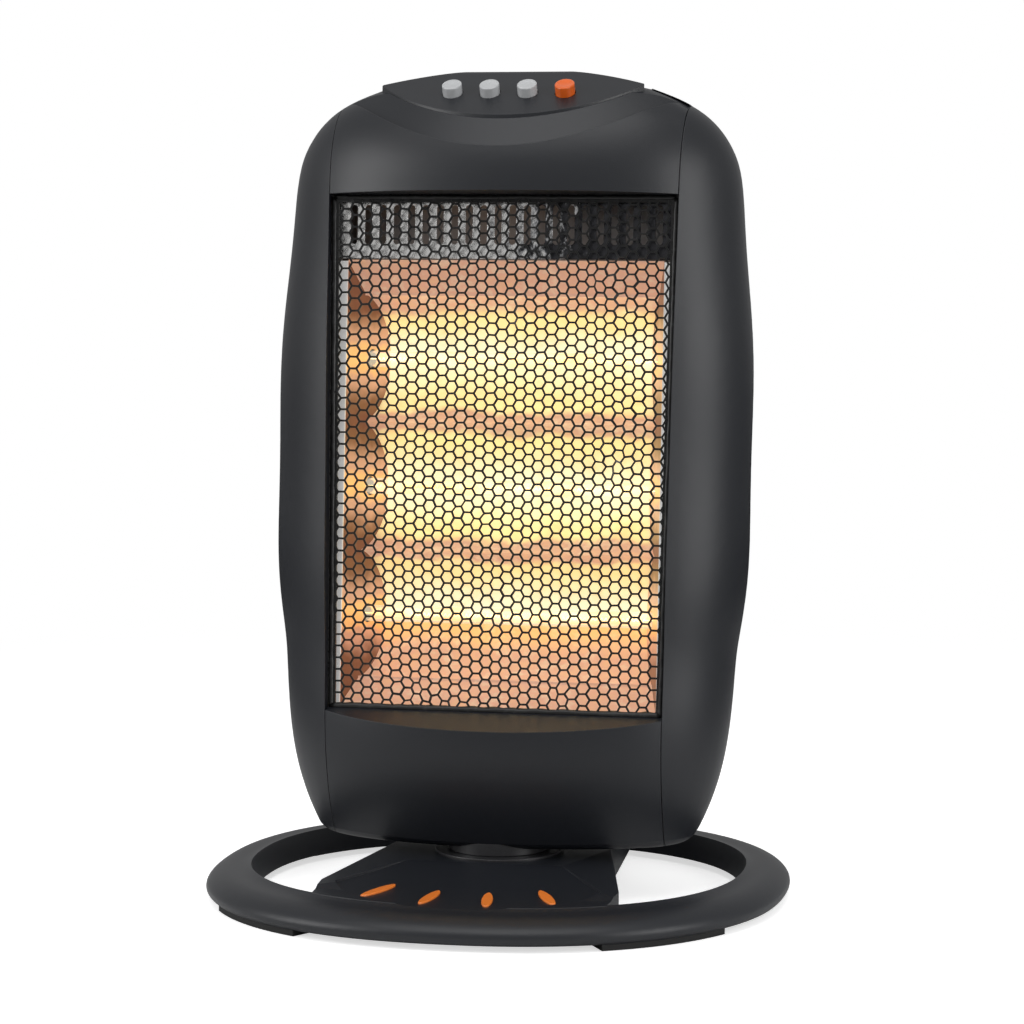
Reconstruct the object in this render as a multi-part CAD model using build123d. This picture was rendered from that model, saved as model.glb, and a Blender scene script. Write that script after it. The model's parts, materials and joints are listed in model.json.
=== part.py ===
from build123d import *
import math
import os

# Halogen tube heater with a leaning head that swings on an oval ring base.
# Millimetres. The origin is on the floor under the swing axis, the front faces -Y and +Z is up.
# Head sizes are given in the head's own upright frame, which is then leant back about the X axis.

# Base ring
ring_half_width = 177.0
ring_half_depth = 167.0
ring_power = 2.22
hole_half_width = 151.0
hole_half_depth = 134.0
hole_draft = 4.0
foot_height = 3.8
ring_widest_z = 9.3
ring_shoulder_z = 15.5
ring_crown_z = 19.6
ring_bottom_inset = 2.4
ring_shoulder_inset = 5.5
ring_top_share = 0.6
ring_top_rise = 2.5
ring_wall = 3.0
channel_roof_z = 12.0
foot_length_angle = 28.0
foot_width = 16.0
foot_place_angle = 44.0
foot_depth = 1.5

# Deck across the ring
deck_top_z = 26.0
deck_rear_y = 150.0
deck_rear_half_width = 58.0
deck_waist_y = 14.0
deck_waist_half_width = 67.0
deck_widest_y = -85.0
deck_half_width = 89.5
deck_nose_half_width = 84.0
deck_nose_z = 20.2
deck_nose_run = 14.0
deck_wall = 2.6
deck_overlap = 1.0
facet_rear_y = -42.0
facet_rear_half_width = 47.5
facet_corner_y = -90.0
facet_half_width = 80.6
facet_front_y = -139.0
facet_front_z = 18.6
facet_sag = 2.0
facet_corner_bend = 5.0
cover_thickness = 2.0
insert_length = 31.0
insert_width = 6.5
insert_rise = 1.2
insert_bend = 0.6
insert_radius = 115.0
insert_angles = (-26.0, -8.6, 8.6, 26.0)
cover_screw_x = 52.0

# Swing bearing on the deck
disc_radius = 39.0
disc_thickness = 1.6
post_radius = 14.0
post_bore = 8.0
post_flange_radius = 30.0
post_flange_thickness = 3.0
collar_radius = 31.0
collar_neck_radius = 19.7
running_clearance = 0.06
arm_thickness = 3.0
arm_half_width = 7.5
arm_eye_wall = 4.0
arm_end_wall = 2.5
retainer_radius = 20.0
retainer_thickness = 2.0
lift_gap = 0.3

# Swing drive
crank_limit = 90.0
motor_offset = 26.0
crank_radius = 18.2
crank_pin_radius = 2.5
crank_thickness = 3.0
crank_half_width = 5.0
crank_eye_radius = 6.0
slot_clearance = 1.0
motor_radius = 24.5
motor_height = 18.0
motor_shaft_radius = 3.5
motor_bend = 2.0
motor_rise = 1.0
floor_plate_half_width = 70.0
bracket_thickness = 1.5
bracket_leg_x = 40.0
bracket_leg_radius = 3.0
arm_gap = 0.6

# Head outline
lean_angle = 5.46
head_bottom_z = 31.5
widest_y = 16.0
head_half_width = 148.2
head_front_depth = 74.0
head_rear_depth = 48.0
side_radius = 1350.0
side_mid_z = 275.0
top_corner_radius = 60.0
top_radius = 255.0
top_crown_z = 506.4
bottom_corner_radius = 170.0
bottom_turn_z = 95.0
head_cap_z = 492.0
front_top_radius = 81.0
front_bottom_radius = 133.0
rear_top_radius = 100.0
rear_bottom_radius = 180.0
front_power = 2.0
top_power = 2.3
rear_power = 2.7
head_start_z = 16.0
head_floor_bend = 7.0
head_floor_wall = 3.6
head_floor_blend = 9.0
shell_wall = 2.4
seam_low_half = 102.9
seam_low_z = 31.0
seam_high_half = 108.3
seam_high_z = 482.0
seam_gap = 0.4
split_y = 16.0
web_rear_y = 38.0

# Window
window_low_z = 108.6
window_high_z = 424.6
sill_slope = 18.0
sill_front_y = -36.0
sill_gap = 1.0
grille_y = -27.0
grille_thickness = 0.8
grille_border = 4.5
cell_half_length = 8.6
cell_flat_half = 4.8
cell_half_height = 8.0
cell_strand = 1.5
grille_frame_depth = 2.0
lay_gap = 0.1

# Heating chamber
tube_heights = (168.0, 247.0, 326.0)
tube_y = 12.0
tube_radius = 5.0
tube_wall = 1.0
tube_half_length = 99.0
filament_radius = 1.3
filament_half_length = 84.0
lead_radius = 0.6
cap_radius = 7.0
cap_waist_radius = 6.0
cap_inner_x = 96.0
cap_outer_x = 103.2
sheet = 0.8
trough_ridge_y = 2.0
trough_back_y = 33.0
reflector_front_y = -19.0
reflector_low_z = 113.0
reflector_high_z = 384.5
reflector_front_half = 98.0
reflector_splay = 16.0
end_rim_gap = 0.5
tube_hole_gap = 1.0
slot_plate_y = -20.0
slot_plate_low_z = 386.0
slot_plate_high_z = 423.5
slot_count = 22
slot_pitch = 9.0
slot_width = 4.4
slot_height = 24.0
slot_rise = 2.0
slot_plate_gap = 1.5
chassis_thickness = 1.0
chassis_low_z = 104.0
chassis_high_z = 430.0
bracket_arm_half_width = 0.5
bracket_lip = 3.0
bracket_low_z = 140.0
bracket_high_z = 354.0

# Control panel on top of the head
panel_tilt = 31.0
lip_y = -44.0
lip_z = 471.0
pod_half_width = 81.6
pod_corner_y = -7.5
pod_rear_y = 48.0
pod_top_z = 505.6
pod_arch_radius = 280.0
pod_crest_bend = 14.0
pod_rear_drop = 16.0
pod_skirt_z = 458.0
pod_wall = 2.4
crescent_step = 1.0
crescent_run = 18.1
crescent_drop = 11.9
button_half_width = 6.0
button_half_length = 7.2
button_bend = 0.8
button_pitch = 23.3
button_distance = 31.0
button_count = 4
button_stand = 6.2
button_travel = 3.0
button_gap = 0.4
button_dish_radius = 18.0
button_dish_depth = 0.7
button_skirt = 5.5
stem_radius = 2.6
stem_clearance = 1.0
switch_width = 96.0
switch_depth = 20.0
switch_height = 16.0
switch_gap = 0.5
switch_bore_depth = 8.0

# Rear cover
rear_screw_x = 88.0
rear_screw_heights = (60.0, 225.0, 395.0)
louvre_height = 4.5
louvre_pitch = 10.0
louvre_half_width = 26.0
louvre_columns = 3
louvre_column_gap = 9.0
upper_louvre_low_z = 330.0
upper_louvre_rows = 6
lower_louvre_low_z = 70.0
lower_louvre_rows = 4
grip_z = 440.0
grip_half_width = 48.0
grip_height = 24.0
grip_depth = 20.0
screw_head_radius = 4.0
screw_head_thickness = 2.2
screw_radius = 1.6
screw_length = 9.0
screw_seat_depth = 1.0

# Small parts
gland_z = 9.6
gland_radius = 5.5
gland_bore = 3.3
gland_flange_radius = 7.0
gland_flange_thickness = 2.0
gland_length = 9.0
plunger_y = 95.0
plunger_radius = 4.0
plunger_rest_z = 0.2
plunger_headroom = 1.0
tip_switch_width = 26.0
tip_switch_depth = 16.0
terminal_width = 46.0
terminal_depth = 14.0
terminal_height = 18.0
terminal_z = 250.0
terminal_count = 4
terminal_hole_radius = 2.6
cutout_radius = 8.5
cutout_height = 8.0
cutout_z = 382.0
cutout_tab_length = 5.0
cutout_tab_width = 6.0
cutout_tab_thickness = 1.2
wire_radius = 1.5
wire_xs = (-30.0, -24.0, 24.0, 30.0)
wire_low_z = 164.0
wire_high_z = 410.0

OVAL_STEPS = 16
RING_STEPS = 32
LOW_STEPS = 5
WINDOW_STEPS = 5
CROWN_STEPS = 7
FLOOR_STEPS = 3
FAR = 400.0


def box_between(low, high):
    """A block between two corners."""
    size = [high[i] - low[i] for i in range(3)]
    middle = [(high[i] + low[i]) / 2 for i in range(3)]
    return Pos(*middle) * Box(*size)


def upright(x, y, low, high, radius):
    """A cylinder along Z."""
    return Pos(x, y, (low + high) / 2) * Cylinder(radius, high - low)


def crosswise(y, z, low, high, radius):
    """A cylinder along X."""
    return Pos((low + high) / 2, y, z) * Rot(0, 90, 0) * Cylinder(radius, high - low)


def crosswise_y(x, z, low, high, radius):
    """A cylinder along Y."""
    return Pos(x, (low + high) / 2, z) * Rot(90, 0, 0) * Cylinder(radius, high - low)


def prism(points, direction):
    """A flat outline pushed along a direction by that direction's length."""
    way = Vector(*direction)
    outline = make_face(Polyline(*points, close=True).edges())
    return extrude(outline, amount=way.length, dir=way)


def lean(part):
    """From the head's upright frame to its place on the base."""
    return Rot(-lean_angle, 0, 0) * part


def unlean(part):
    """From the floor's frame into the head's upright frame."""
    return Rot(lean_angle, 0, 0) * part


# Ovals

def oval_half(half_x, half_y, power, middle_y, z, side):
    """Half of a superellipse from left to right, side -1 at the front and 1 at the rear."""
    points = []
    for i in range(OVAL_STEPS + 1):
        angle = math.pi * i / OVAL_STEPS
        across = -math.cos(angle)
        along = math.sin(angle)
        reach = (abs(across) ** power + along ** power) ** (-1 / power)
        points.append((half_x * reach * across, middle_y + side * half_y * reach * along, z))
    steps = [i / OVAL_STEPS for i in range(OVAL_STEPS + 1)]
    return Edge.make_spline(points, tangents=[(0, side, 0), (0, -side, 0)], parameters=steps)


def oval_face(half_x, front_y, rear_y, power_front, power_rear, middle_y, z):
    """A closed oval whose front and rear halves may differ."""
    front = oval_half(half_x, front_y, power_front, middle_y, z, -1)
    rear = oval_half(half_x, rear_y, power_rear, middle_y, z, 1)
    return Face(Wire([front, rear]))


def even_oval(half_x, half_y, z):
    """A closed oval about the swing axis, drawn from its rear."""
    points = []
    for i in range(RING_STEPS):
        angle = math.pi / 2 + 2 * math.pi * i / RING_STEPS
        across = math.cos(angle)
        along = math.sin(angle)
        reach = (abs(across) ** ring_power + abs(along) ** ring_power) ** (-1 / ring_power)
        points.append((half_x * reach * across, half_y * reach * along, z))
    return Face(Wire([Edge.make_spline(points, periodic=True)]))


def ring_oval(inset, z):
    """The base ring's outline, moved inwards."""
    return even_oval(ring_half_width - inset, ring_half_depth - inset, z)


def hole_oval(inset, z):
    """The outline of the opening through the ring, moved inwards."""
    return even_oval(hole_half_width - inset, hole_half_depth - inset, z)


# Head envelope

def side_centre_x():
    return head_half_width - side_radius


def top_corner_centre():
    """Centre of the corner arc that meets the side arc and the top arc."""
    side = Vector(side_centre_x(), side_mid_z)
    top = Vector(0, top_crown_z - top_radius)
    from_side = side_radius - top_corner_radius
    from_top = top_radius - top_corner_radius
    gap = (top - side).length
    along = (from_side ** 2 - from_top ** 2 + gap ** 2) / (2 * gap)
    height = math.sqrt(from_side ** 2 - along ** 2)
    way = (top - side) * (1 / gap)
    return side + way * along + Vector(-way.Y, way.X) * height


def bottom_corner_centre():
    """Centre of the arc that draws each side in towards the head's floor."""
    rise = (side_mid_z - bottom_turn_z) / side_radius
    reach = side_radius - bottom_corner_radius
    return Vector(side_centre_x() + reach * math.sqrt(1 - rise ** 2), side_mid_z - reach * rise)


def arc_reach(centre, radius, z):
    return centre.X + math.sqrt(radius ** 2 - (z - centre.Y) ** 2)


def half_width_at(z, inset):
    """The head's half width at a height, from its side, corner and top arcs."""
    side = Vector(side_centre_x(), side_mid_z)
    top = Vector(0, top_crown_z - top_radius)
    corner = top_corner_centre()
    bottom = bottom_corner_centre()
    side_way = (corner - side).normalized()
    top_way = (corner - top).normalized()
    side_turn_z = side_mid_z + (side_radius - inset) * side_way.Y
    top_turn_z = top.Y + (top_radius - inset) * top_way.Y
    low_turn_z = side_mid_z - (side_radius - inset) * (side_mid_z - bottom_turn_z) / side_radius
    if z > top_turn_z:
        return arc_reach(top, top_radius - inset, z)
    if z > side_turn_z:
        return arc_reach(corner, top_corner_radius - inset, z)
    if z > low_turn_z:
        return arc_reach(side, side_radius - inset, z)
    return arc_reach(bottom, bottom_corner_radius - inset, z)


def depth_at(z, full_depth, top_bend, bottom_bend, inset):
    """How far the head reaches from its widest plane at a height."""
    if z > window_high_z:
        bend, past = top_bend, z - window_high_z
    elif z < window_low_z:
        bend, past = bottom_bend, window_low_z - z
    else:
        return full_depth - inset
    return full_depth - bend + math.sqrt((bend - inset) ** 2 - past ** 2)


def head_levels(inset):
    """Heights of the cross-sections, closer together towards the crown."""
    levels = []
    for i in range(LOW_STEPS):
        levels.append(head_start_z + (window_low_z - head_start_z) * i / LOW_STEPS)
    for i in range(WINDOW_STEPS):
        levels.append(window_low_z + (window_high_z - window_low_z) * i / WINDOW_STEPS)
    crown = head_cap_z - inset - window_high_z
    for i in range(CROWN_STEPS + 1):
        levels.append(window_high_z + crown * math.sin(math.radians(90 * i / CROWN_STEPS)))
    return levels


def level_oval(shrink, z):
    """The head's outline on a level plane of the leant head, moved inwards."""
    tilt = math.radians(lean_angle)
    widest_z = (z + widest_y * math.sin(tilt)) / math.cos(tilt)
    front_z = widest_z - head_front_depth * math.sin(tilt) / 2
    rear_z = widest_z + head_rear_depth * math.sin(tilt) / 2
    middle_y = widest_y / math.cos(tilt) + z * math.tan(tilt)
    front = depth_at(front_z, head_front_depth, front_top_radius, front_bottom_radius, 0)
    rear = depth_at(rear_z, head_rear_depth, rear_top_radius, rear_bottom_radius, 0)
    width = half_width_at(widest_z, 0)
    return oval_face(width - shrink, front - shrink, rear - shrink, front_power, rear_power, middle_y, z)


def rounded_floor():
    """All above the head's level floor, with the floor's edge rounded."""
    sections = []
    for i in range(FLOOR_STEPS + 1):
        angle = math.radians(90 * i / FLOOR_STEPS)
        shrink = head_floor_bend * (1 - math.sin(angle))
        sections.append(level_oval(shrink, head_bottom_z + head_floor_bend * (1 - math.cos(angle))))
    high = head_bottom_z + head_floor_bend + head_floor_blend
    sections.append(level_oval(-head_floor_blend, high))
    return loft(sections) + box_between((-FAR, -FAR, high - lay_gap), (FAR, FAR, 2 * FAR))


def head_loft(inset):
    """The smooth body of the head, moved inwards, before its floor is cut."""
    sections = []
    for z in head_levels(inset):
        past = max(0, z - window_high_z) / (head_cap_z - window_high_z)
        power = front_power + (top_power - front_power) * past ** 2
        front = depth_at(z, head_front_depth, front_top_radius, front_bottom_radius, inset)
        rear = depth_at(z, head_rear_depth, rear_top_radius, rear_bottom_radius, inset)
        sections.append(oval_face(half_width_at(z, inset), front, rear, power, rear_power, widest_y, z))
    return loft(sections)


def head_outside():
    """The outside of the head."""
    return head_loft(0) & unlean(rounded_floor())


def head_inside():
    """The hollow of the head, one wall in from its outside."""
    floor = box_between((-FAR, -FAR, -FAR), (FAR, FAR, head_bottom_z + head_floor_wall))
    return head_loft(shell_wall) - unlean(floor)


def seam_half(z):
    """Half the distance between the two front seams at a height."""
    share = (z - seam_low_z) / (seam_high_z - seam_low_z)
    return seam_low_half + (seam_high_half - seam_low_half) * share


def seam_block(offset, low_z, high_z, front_y, rear_y):
    """All that lies between the seams, each seam moved outwards by the offset."""
    low = seam_half(low_z) + offset
    high = seam_half(high_z) + offset
    points = [(-low, rear_y, low_z), (low, rear_y, low_z), (high, rear_y, high_z), (-high, rear_y, high_z)]
    return prism(points, (0, front_y - rear_y, 0))


def sill_tool(lower):
    """All that lies above the sloping sill of the window, moved down by the given amount."""
    slope = math.tan(math.radians(sill_slope))
    far_z = window_low_z - lower - slope * (FAR + sill_front_y)
    near_z = window_low_z - lower + slope * (FAR - sill_front_y)
    points = [(-FAR, -FAR, far_z), (-FAR, FAR, near_z), (-FAR, FAR, 2 * FAR), (-FAR, -FAR, 2 * FAR)]
    return prism(points, (2 * FAR, 0, 0))


# Control panel frame: x across, y up the slope from the lip, z out of the slope

def slope_plane():
    tilt = math.radians(panel_tilt)
    return Plane(origin=(0, lip_y, lip_z), x_dir=(1, 0, 0), z_dir=(0, -math.sin(tilt), math.cos(tilt)))


def pod_outline(grow):
    """The lens-shaped outline of the control panel, seen from above."""
    corner = pod_half_width + grow
    front = ThreePointArc((-corner, pod_corner_y), (0, lip_y - grow), (corner, pod_corner_y))
    rear = ThreePointArc((corner, pod_corner_y), (0, pod_rear_y + grow), (-corner, pod_corner_y))
    return make_face([front, rear])


def pod_solid(inset, low_z):
    """The control panel's outside, or its inside when inset by the wall."""
    column = Pos(0, 0, low_z) * extrude(pod_outline(-inset), amount=2 * FAR, dir=(0, 0, 1))
    tilt = math.radians(panel_tilt)
    start = (lip_y, lip_z - inset / math.cos(tilt))
    crest_z = pod_top_z - inset
    crest_y = start[0] + (crest_z - start[1]) / math.tan(tilt)
    run = FAR * math.cos(tilt)
    rise = FAR * math.sin(tilt)
    rear_z = crest_z - pod_rear_drop
    points = [(0, start[0] - run, start[1] - rise), (0, crest_y, crest_z), (0, pod_rear_y, rear_z),
              (0, FAR, rear_z), (0, FAR, -FAR)]
    profile = make_face(Polyline(*points, close=True).edges())
    crest = [v for v in profile.vertices() if abs(v.Y - crest_y) < lay_gap]
    profile = fillet(crest, radius=pod_crest_bend)
    slope = extrude(profile, amount=FAR, dir=(1, 0, 0), both=True)
    arch_z = pod_top_z - pod_arch_radius
    arch = Pos(0, 0, arch_z) * Rot(90, 0, 0) * Cylinder(pod_arch_radius - inset, 2 * FAR)
    return column & slope & arch


# Base

def ring_body():
    """The oval ring, rounded outside and rising towards its opening."""
    blend_x = ring_half_width - hole_half_width
    blend_y = ring_half_depth - hole_half_depth
    levels = (
        (ring_bottom_inset / blend_x, foot_height),
        (0, ring_widest_z),
        (ring_shoulder_inset / blend_x, ring_shoulder_z),
        (ring_top_share, ring_shoulder_z + ring_top_rise),
        (1, ring_crown_z),
    )
    sections = []
    for share, z in levels:
        half_x = ring_half_width - share * blend_x
        half_y = ring_half_depth - share * blend_y
        sections.append(even_oval(half_x, half_y, z))
    return loft(sections)


def ring_opening():
    """The opening through the ring, wider at the top."""
    low = hole_oval(hole_draft, foot_height - 1)
    high = hole_oval(0, ring_crown_z + 1)
    return loft([low, high])


def both_sides(part):
    return part + mirror(part, about=Plane.YZ)


def facet_bend():
    """Centre and radius of the facet's shallow hollow, as depth and height."""
    rear = Vector(facet_rear_y, deck_top_z)
    front = Vector(facet_front_y, facet_front_z)
    half = (rear - front).length / 2
    radius = (half ** 2 + facet_sag ** 2) / (2 * facet_sag)
    way = (rear - front).normalized()
    centre = (rear + front) / 2 + Vector(-way.Y, way.X) * (radius - facet_sag)
    return centre, radius


def facet_height(y):
    """Height of the facet at a depth."""
    centre, radius = facet_bend()
    return centre.Y - math.sqrt(radius ** 2 - (y - centre.X) ** 2)


def facet_plan(grow):
    """The facet's outline from above, with rounded corners and an arc at the front."""
    tip = (facet_half_width, facet_corner_y)
    corner = (facet_rear_half_width, facet_rear_y)
    sides = Polyline((-tip[0], tip[1]), (-corner[0], corner[1]), corner, tip)
    front = ThreePointArc(tip, (0, facet_front_y), (-tip[0], tip[1]))
    face = make_face(sides.edges() + front.edges())
    face = fillet(face.vertices(), radius=facet_corner_bend)
    return offset(face, grow) if grow else face


def facet_tool(inset):
    """All above the sunken facet, moved down and outwards by the inset."""
    centre, radius = facet_bend()
    hollow = crosswise(centre.X, centre.Y, -FAR, FAR, radius + inset)
    return hollow & extrude(facet_plan(inset), amount=FAR, dir=(0, 0, 1))


def flank_plane_tool(inset):
    """All above the gently falling flank on the right, moved down by the inset."""
    corner = Vector(facet_rear_half_width, facet_rear_y, deck_top_z - inset)
    waist = Vector(deck_waist_half_width, deck_waist_y, deck_top_z - inset)
    nose = Vector(deck_nose_half_width, facet_front_y, deck_nose_z - inset)
    along = waist - corner
    normal = (nose - corner).cross(along)
    plane = Plane(origin=corner, x_dir=along, z_dir=normal)
    return plane * box_between((-FAR, -FAR, 0), (FAR, FAR, FAR))


def nose_tool(inset):
    """All above the deck's front end, where it falls to the height of the ring."""
    high = deck_top_z - inset
    low = ring_crown_z - inset
    front = facet_corner_y - deck_nose_run
    middle = (high + low) / 2
    points = [(-FAR, facet_corner_y, middle), (-FAR, front, low), (-FAR, -FAR, low), (-FAR, -FAR, FAR),
              (-FAR, facet_corner_y, FAR)]
    return prism(points, (2 * FAR, 0, 0))


def deck_plan(inset):
    """The deck's outline from above, widening from the rear to the facet's corners."""
    right = [(deck_rear_half_width, deck_rear_y), (deck_waist_half_width, deck_waist_y),
             (deck_half_width, deck_widest_y), (deck_nose_half_width, -ring_half_depth)]
    left = [(-x, y) for x, y in reversed(right)]
    face = make_face(Polyline(*right, *left, close=True).edges())
    return offset(face, -inset, kind=Kind.INTERSECTION) if inset else face


def deck_body(inset, low):
    """The deck as a solid, or its hollow when inset by the wall."""
    body = Pos(0, 0, low) * extrude(deck_plan(inset), amount=deck_top_z - inset - low, dir=(0, 0, 1))
    body -= both_sides(flank_plane_tool(inset))
    return body - nose_tool(inset)


def deck_reach(grow):
    """The ring's opening and the part of the rear ring under the deck, as one column."""
    column = Pos(0, 0, -1) * extrude(hole_oval(-grow, 0), amount=FAR, dir=(0, 0, 1))
    rear = Pos(0, 0, -1) * extrude(ring_oval(ring_shoulder_inset, 0), amount=FAR, dir=(0, 0, 1))
    return column + (rear & box_between((-FAR, 0, -1), (FAR, deck_rear_y, FAR)))


def foot_pads():
    """Four curved rubber pads let into the underside of the ring."""
    pads = []
    band = extrude(ring_oval(ring_bottom_inset + 1, 0), amount=foot_height + foot_depth, dir=(0, 0, 1))
    band -= extrude(ring_oval(ring_bottom_inset + 1 + foot_width, 0), amount=FAR, dir=(0, 0, 1))
    for angle in (foot_place_angle, 180 - foot_place_angle, 180 + foot_place_angle, -foot_place_angle):
        half = math.radians(foot_length_angle / 2)
        middle = math.radians(angle)
        wedge = prism([(0, 0, -1), (FAR * math.cos(middle - half), FAR * math.sin(middle - half), -1),
                       (FAR * math.cos(middle + half), FAR * math.sin(middle + half), -1)], (0, 0, FAR))
        pads.append(band & wedge)
    return pads


def base_moulding():
    """The ring and deck in one moulding, hollow from below."""
    body = ring_body() - ring_opening()
    body += deck_body(0, foot_height) & deck_reach(deck_overlap)
    body -= facet_tool(0)
    channel = extrude(ring_oval(ring_bottom_inset + ring_wall, -1), amount=channel_roof_z + 1, dir=(0, 0, 1))
    channel -= extrude(hole_oval(-ring_wall, -1), amount=FAR, dir=(0, 0, 1))
    for pad in foot_pads():
        channel -= Pos(0, 0, foot_depth) * pad
        body -= pad
    hollow = deck_body(deck_wall, -1) - facet_tool(deck_wall)
    hollow &= extrude(hole_oval(-ring_wall - deck_overlap, -1), amount=FAR, dir=(0, 0, 1))
    body -= channel
    body -= hollow
    body += screw_bosses()
    body -= upright(0, 0, 0, FAR, post_radius + lay_gap)
    body -= insert_shapes(lay_gap)
    return body - crosswise_y(0, gland_z, ring_half_depth - gland_length - 1, FAR, gland_radius + lay_gap)


def insert_shapes(grow):
    """Four long oval inserts, spread like a fan about the swing axis."""
    shapes = []
    centre, radius = facet_bend()
    for angle in insert_angles:
        turn = math.radians(angle)
        x = insert_radius * math.sin(turn)
        y = -insert_radius * math.cos(turn)
        slope = math.degrees(math.asin((y - centre.X) / radius))
        oval = Ellipse(insert_width / 2 + grow, insert_length / 2 + grow)
        column = extrude(oval, amount=-insert_rise - deck_wall)
        shapes.append(Pos(x, y, facet_height(y) + insert_rise) * Rot(slope, 0, 0) * Rot(0, 0, angle) * column)
    return shapes


def inserts():
    """The inserts with their rounded tops."""
    return [fillet(s.edges().group_by(Axis.Z)[-1], radius=insert_bend) for s in insert_shapes(0)]


def bottom_cover():
    """The plate that closes the underside of the deck."""
    outline = deck_plan(deck_wall + lay_gap)
    plate = Pos(0, 0, foot_height) * extrude(outline, amount=cover_thickness, dir=(0, 0, 1))
    plate &= extrude(hole_oval(lay_gap - ring_wall - deck_overlap, 0), amount=FAR, dir=(0, 0, 1))
    plate -= upright(0, plunger_y, 0, FAR, plunger_radius + button_gap)
    plate -= upright(0, 0, 0, FAR, post_bore)
    for x, y in cover_screw_places():
        plate -= upright(x, y, 0, FAR, screw_radius + lay_gap)
    return plate


def cover_screw_places():
    return [(side * cover_screw_x, y) for side in (-1, 1) for y in (facet_corner_y, 0, -facet_corner_y)]


def pan_screw():
    """A screw along Z, its head's seat at the origin and its shank upwards."""
    head = upright(0, 0, -screw_head_thickness, 0, screw_head_radius)
    head = fillet(head.edges().group_by(Axis.Z)[0], radius=screw_head_thickness / 2)
    return head + upright(0, 0, -lay_gap, screw_length, screw_radius)


def cover_screws():
    return [Pos(x, y, foot_height - lay_gap) * pan_screw() for x, y in cover_screw_places()]


def screw_bosses():
    """Posts under the deck that the cover's screws turn into."""
    low = foot_height + cover_thickness + lay_gap
    column = None
    for x, y in cover_screw_places():
        high = (facet_height(y) if y < facet_rear_y else deck_top_z) - deck_wall / 2
        boss = upright(x, y, low, high, screw_head_radius)
        boss -= upright(x, y, 0, foot_height + screw_length + lay_gap, screw_radius + lay_gap)
        column = boss if column is None else column + boss
    return column


def swivel_disc():
    """The slippery thrust disc on the deck."""
    disc = upright(0, 0, deck_top_z, deck_top_z + disc_thickness, disc_radius)
    disc = fillet(disc.edges().group_by(Axis.Z)[-1], radius=disc_thickness / 3)
    return disc - upright(0, 0, 0, FAR, post_radius + lay_gap)


def collar_low_z():
    return deck_top_z + disc_thickness + lift_gap


def floor_plate_z():
    return head_bottom_z + head_floor_wall + lift_gap


def collar_top_z():
    return floor_plate_z() + cover_thickness + retainer_thickness


def arm_low_z():
    return collar_top_z() + lift_gap + retainer_thickness + lay_gap


def crank_low_z():
    return arm_low_z() + arm_thickness + arm_gap


def neck_post():
    """The hollow post fixed under the deck, about which the head swings."""
    low = deck_top_z - deck_wall - post_flange_thickness
    post = upright(0, 0, low, arm_low_z() + arm_thickness, post_radius)
    post += upright(0, 0, low, low + post_flange_thickness, post_flange_radius)
    return post - upright(0, 0, 0, FAR, post_bore)


def retainer():
    """The washer on the post that holds the head down."""
    low = collar_top_z() + lift_gap
    ring = upright(0, 0, low, low + retainer_thickness, retainer_radius)
    return ring - upright(0, 0, 0, FAR, post_radius + lay_gap)


def slot_reach():
    """Nearest and farthest distance of the crank pin from the swing axis."""
    near = math.sqrt(motor_offset ** 2 + crank_radius ** 2 - 2 * motor_offset * crank_radius
                     * math.cos(math.radians(180 - crank_limit)))
    return near, motor_offset + crank_radius


def drive_arm():
    """The slotted arm fixed on the post, in which the crank pin runs."""
    near, far = slot_reach()
    low = arm_low_z()
    end = far + crank_pin_radius + slot_clearance + arm_end_wall
    arm = box_between((-arm_half_width, 0, low), (arm_half_width, end, low + arm_thickness))
    arm += upright(0, 0, low, low + arm_thickness, post_radius + arm_eye_wall)
    arm -= upright(0, 0, 0, FAR, post_radius + lay_gap)
    half = crank_pin_radius + slot_clearance
    arm -= box_between((-half, near - half, 0), (half, far + half, FAR))
    return arm


def crank():
    """The crank and its shaft, with the pin that runs in the slotted arm."""
    low = crank_low_z()
    top = low + crank_thickness
    pin_y = motor_offset + crank_radius
    bar = box_between((-crank_half_width, motor_offset, low), (crank_half_width, pin_y, top))
    bar += upright(0, motor_offset, low, top, crank_eye_radius)
    bar += upright(0, pin_y, low, top, crank_half_width)
    bar += upright(0, pin_y, arm_low_z() + lift_gap, low, crank_pin_radius)
    bar += upright(0, motor_offset, top, motor_low_z() + motor_height / 2, motor_shaft_radius)
    return bar


def motor_low_z():
    return crank_low_z() + crank_thickness + motor_rise + bracket_thickness


def motor():
    """The round geared motor that turns the crank."""
    low = motor_low_z()
    body = upright(0, motor_offset, low, low + motor_height, motor_radius)
    body = fillet(body.edges().group_by(Axis.Z)[-1], radius=motor_bend)
    shaft_top = low + motor_height / 2
    return body - upright(0, motor_offset, 0, shaft_top + lay_gap, motor_shaft_radius + running_clearance)


def motor_bracket():
    """The plate under the motor, on two legs from the floor plate."""
    top = motor_low_z()
    low = top - bracket_thickness
    half = bracket_leg_x + bracket_leg_radius
    front = motor_offset - arm_half_width
    rear = motor_offset + arm_half_width
    plate = box_between((-half, front, low), (half, rear, top))
    for side in (-1, 1):
        x = side * bracket_leg_x
        plate += upright(x, motor_offset, floor_plate_z() + cover_thickness, low, bracket_leg_radius)
    return plate - upright(0, motor_offset, 0, FAR, motor_shaft_radius + arm_gap)


def floor_plate():
    """The steel plate on the head's floor that carries the collar and the motor."""
    low = floor_plate_z()
    half = floor_plate_half_width
    plate = box_between((-half, -FAR, low), (half, FAR, low + cover_thickness))
    plate &= lean(head_loft(shell_wall + seam_gap))
    plate -= upright(0, 0, 0, FAR, collar_neck_radius + lay_gap)
    return plate


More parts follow.
